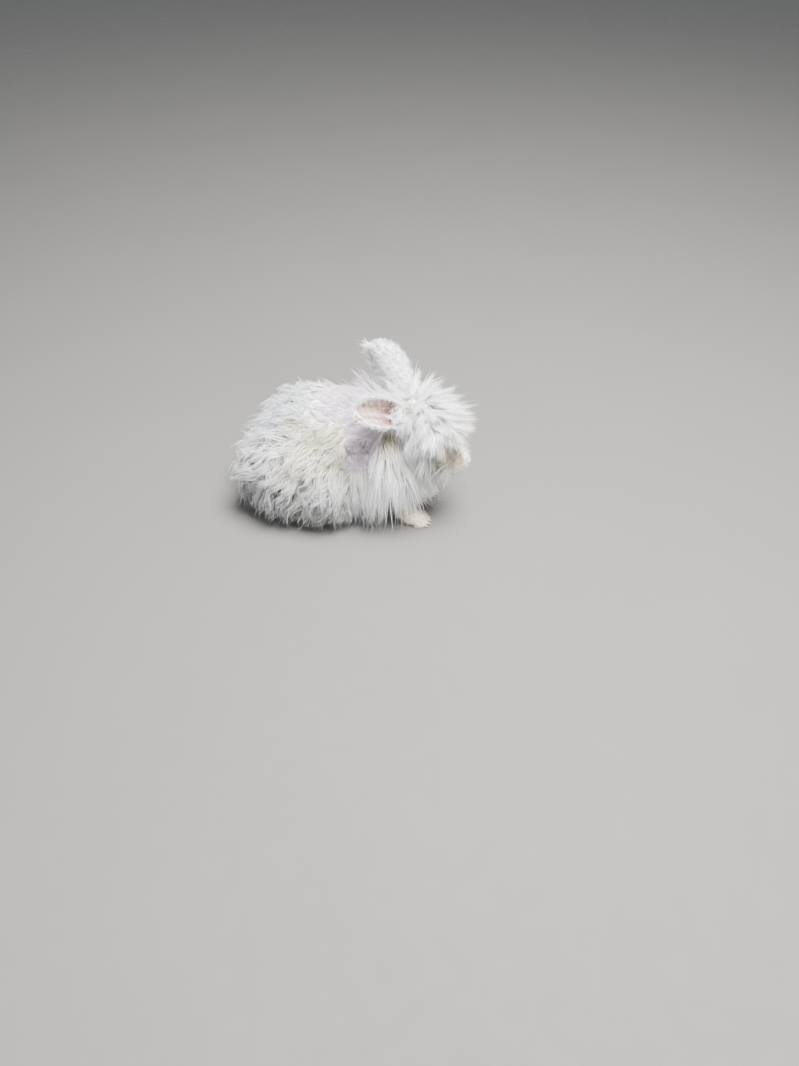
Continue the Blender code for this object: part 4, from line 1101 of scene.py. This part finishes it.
class Shader:
    """A Principled material whose nodes are added one by one."""

    def __init__(self, name, **constants):
        self.material = bpy.data.materials.new(name)
        self.material.use_nodes = True
        self.nodes = self.material.node_tree.nodes
        self.links = self.material.node_tree.links
        self.shader = self.nodes["Principled BSDF"]
        for socket, value in constants.items():
            self.shader.inputs[socket.replace("_", " ")].default_value = value
        self.place = self.add("ShaderNodeTexCoord").outputs["Object"]
        self.tint = self.add("ShaderNodeAttribute", attribute_name="Tint").outputs["Color"]

    def add(self, kind, inputs=None, **settings):
        node = self.nodes.new(kind)
        for name, value in settings.items():
            setattr(node, name, value)
        for socket, value in (inputs or {}).items():
            if isinstance(value, bpy.types.NodeSocket):
                self.links.new(value, node.inputs[socket])
            else:
                node.inputs[socket].default_value = value
        return node

    def noise(self, scale, detail=2.0, stretch=(1, 1, 1)):
        moved = self.add("ShaderNodeMapping", {"Vector": self.place, "Scale": stretch})
        node = self.add("ShaderNodeTexNoise", {"Vector": moved.outputs[0], "Scale": scale, "Detail": detail})
        return node.outputs["Fac"]

    def range(self, value, low, high, to_low, to_high):
        inputs = {"Value": value, "From Min": low, "From Max": high, "To Min": to_low, "To Max": to_high}
        return self.add("ShaderNodeMapRange", inputs).outputs["Result"]

    def mix(self, blend, factor, a, b):
        node = self.add("ShaderNodeMix", data_type="RGBA", blend_type=blend)
        for socket, value in ((0, factor), (6, a), (7, b)):
            if isinstance(value, bpy.types.NodeSocket):
                self.links.new(value, node.inputs[socket])
            else:
                node.inputs[socket].default_value = value
        return node.outputs[2]

    def varied(self, colour, scale, depth):
        """The colour, made darker and lighter by a noise."""
        level = self.range(self.noise(scale, 3.0), 0.25, 0.75, 1 - depth, 1 + depth)
        return self.add("ShaderNodeVectorMath", {0: colour, "Scale": level}, operation="SCALE").outputs[0]

    def bump(self, height, strength, distance):
        node = self.add("ShaderNodeBump", {"Height": height, "Strength": strength, "Distance": distance})
        self.links.new(node.outputs[0], self.shader.inputs["Normal"])

    def done(self, colour, roughness=None):
        self.links.new(colour, self.shader.inputs["Base Color"])
        if roughness is not None:
            self.links.new(roughness, self.shader.inputs["Roughness"])
        return self.material


def wool_material(name, roughness, sheen):
    made = Shader(name, Sheen_Weight=sheen, Sheen_Roughness=0.5, Specular_IOR_Level=0.25, Subsurface_Weight=0.35, Subsurface_Scale=0.001)
    made.shader.inputs["Subsurface Radius"].default_value = (1.0, 0.95, 0.9)
    made.shader.inputs["Sheen Tint"].default_value = (1, 1, 1, 1)
    colour = made.varied(made.varied(made.tint, 90, 0.04), 900, 0.06)
    made.bump(made.noise(2600, 2.0), 0.25, 0.0002)
    return made.done(colour, made.range(made.noise(300), 0.3, 0.7, roughness - 0.06, roughness + 0.08))


def skin_material():
    made = Shader("skin", Specular_IOR_Level=0.3, Sheen_Weight=0.1)
    split = made.add("ShaderNodeSeparateColor", {"Color": made.tint})
    redness = made.add("ShaderNodeMath", {0: split.outputs[0], 1: split.outputs[2]}, operation="SUBTRACT")
    pink = made.range(redness.outputs[0], 0.16, 0.36, 0.0, 1.0)
    ridge = made.add("ShaderNodeMath", {0: made.noise(58, 1.5, (1, 1, 0.55)), 1: 0.5}, operation="SUBTRACT")
    ridge = made.add("ShaderNodeMath", {0: ridge.outputs[0]}, operation="ABSOLUTE").outputs[0]
    vein = made.range(ridge, 0.0, 0.03, 0.4, 0.0)
    vein = made.add("ShaderNodeMath", {0: vein, 1: pink}, operation="MULTIPLY").outputs[0]
    colour = made.mix("MIX", vein, made.varied(made.varied(made.tint, 120, 0.08), 1500, 0.05), (0.42, 0.10, 0.09, 1))
    made.bump(made.noise(1900, 3.0), 0.35, 0.0003)
    return made.done(colour, made.range(made.noise(400), 0.3, 0.7, 0.45, 0.62))


def eye_material():
    made = Shader("eye", Coat_Weight=1.0, Coat_Roughness=0.02, Specular_IOR_Level=0.6)
    return made.done(made.varied(made.tint, 1400, 0.25), made.range(made.noise(700), 0.3, 0.7, 0.06, 0.12))


def horn_material(name):
    made = Shader(name, Specular_IOR_Level=0.5)
    made.bump(made.noise(1500, 2.0), 0.15, 0.0001)
    return made.done(made.varied(made.tint, 700, 0.2), made.range(made.noise(900), 0.3, 0.7, 0.3, 0.45))


def floor_material():
    made = Shader("floor", Specular_IOR_Level=0.3)
    level = made.range(made.noise(6, 4.0), 0.3, 0.7, 0.985, 1.015)
    colour = made.add("ShaderNodeVectorMath", {0: (0.13, 0.126, 0.12), "Scale": level}, operation="SCALE").outputs[0]
    made.bump(made.noise(380, 3.0), 0.05, 0.0004)
    return made.done(colour, made.range(made.noise(40), 0.3, 0.7, 0.72, 0.82))


# ---- the finished pieces

moved(skin)
eyeballs = {side: eyeball(side) for side in (LEFT, RIGHT)}
claws, whiskers = build_claws(), build_whiskers()
wool, down = wool_material("wool", 0.6, 0.3), wool_material("paw_fur", 0.68, 0.2)
finishes = [(skin, skin_material(), "ear_skin")]
finishes += [(piece, down if slot == "paw_fur" else wool, slot) for piece, slot in coat]
finishes += [(piece, eye_material(), "eye") for piece in eyeballs.values()]
finishes += [(claws, horn_material("claw_horn"), "paw_fur"), (whiskers, horn_material("whisker"), "wool")]
for piece, material, slot in finishes:
    piece.data.materials.clear()
    piece.data.materials.append(material)
    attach(piece, "root")

flesh = ["head", "neck", "torso", "tail"]
flesh += [f"{node}_{name}" for node in ("ear", "foreleg", "hindleg") for name in SIDE_NAMES.values()]
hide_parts(*flesh)
for side, piece in eyeballs.items():
    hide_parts(f"eye_{SIDE_NAMES[side]}")

# ---- floor, light and camera

bpy.ops.mesh.primitive_plane_add(size=12, location=(0, 0, -0.0002))
floor = bpy.context.object
floor.name = "floor"
floor.data.materials.append(floor_material())

world = bpy.data.worlds.new("studio")
bpy.context.scene.world = world
world.use_nodes = True
world.node_tree.nodes["Background"].inputs["Color"].default_value = (0.88, 0.94, 1.0, 1)
world.node_tree.nodes["Background"].inputs["Strength"].default_value = 0.62


def area_light(name, place, size, power, colour):
    light = bpy.data.lights.new(name, "AREA")
    light.shape, light.size, light.energy, light.color = "DISK", size, power, colour
    made = bpy.data.objects.new(name, light)
    made.location = place
    made.rotation_mode = "QUATERNION"
    made.rotation_quaternion = (Vector((0, 0, 0.1)) - Vector(place)).to_track_quat("-Z", "Y")
    bpy.context.scene.collection.objects.link(made)


area_light("key", (0.42, -0.25, 1.6), 0.8, 188, (1.0, 0.99, 0.97))
area_light("fill", (0.9, -1.3, 0.9), 1.2, 11, (0.97, 0.98, 1.0))

# The photograph's camera: 801 pixels from lens to image, looking 45 degrees down
FOCAL, IMAGE = 801, (799, 1066)
ORIGIN_PIXEL = (357, 498)
DISTANCE = 1.35 * MM * FOCAL
azimuth, pitch = math.radians(12), math.radians(45)
level = Vector((-math.sin(azimuth), math.cos(azimuth), 0))
right = Vector((math.cos(azimuth), math.sin(azimuth), 0))
ahead = level * math.cos(pitch) - UP * math.sin(pitch)
over = level * math.sin(pitch) + UP * math.cos(pitch)
across_px = (ORIGIN_PIXEL[0] - IMAGE[0] / 2) / FOCAL
down_px = (ORIGIN_PIXEL[1] - IMAGE[1] / 2) / FOCAL
camera = bpy.data.objects.new("camera", bpy.data.cameras.new("camera"))
camera.data.sensor_fit = "VERTICAL"
camera.data.sensor_width = camera.data.sensor_height = 36
camera.data.lens = 36 * FOCAL / IMAGE[1]
placed = Matrix((right, over, -ahead)).transposed().to_4x4()
placed.translation = -(right * across_px - over * down_px + ahead) * DISTANCE - ORIGIN
camera.matrix_world = placed
bpy.context.scene.collection.objects.link(camera)
bpy.context.scene.camera = camera

bpy.context.view_layer.update()
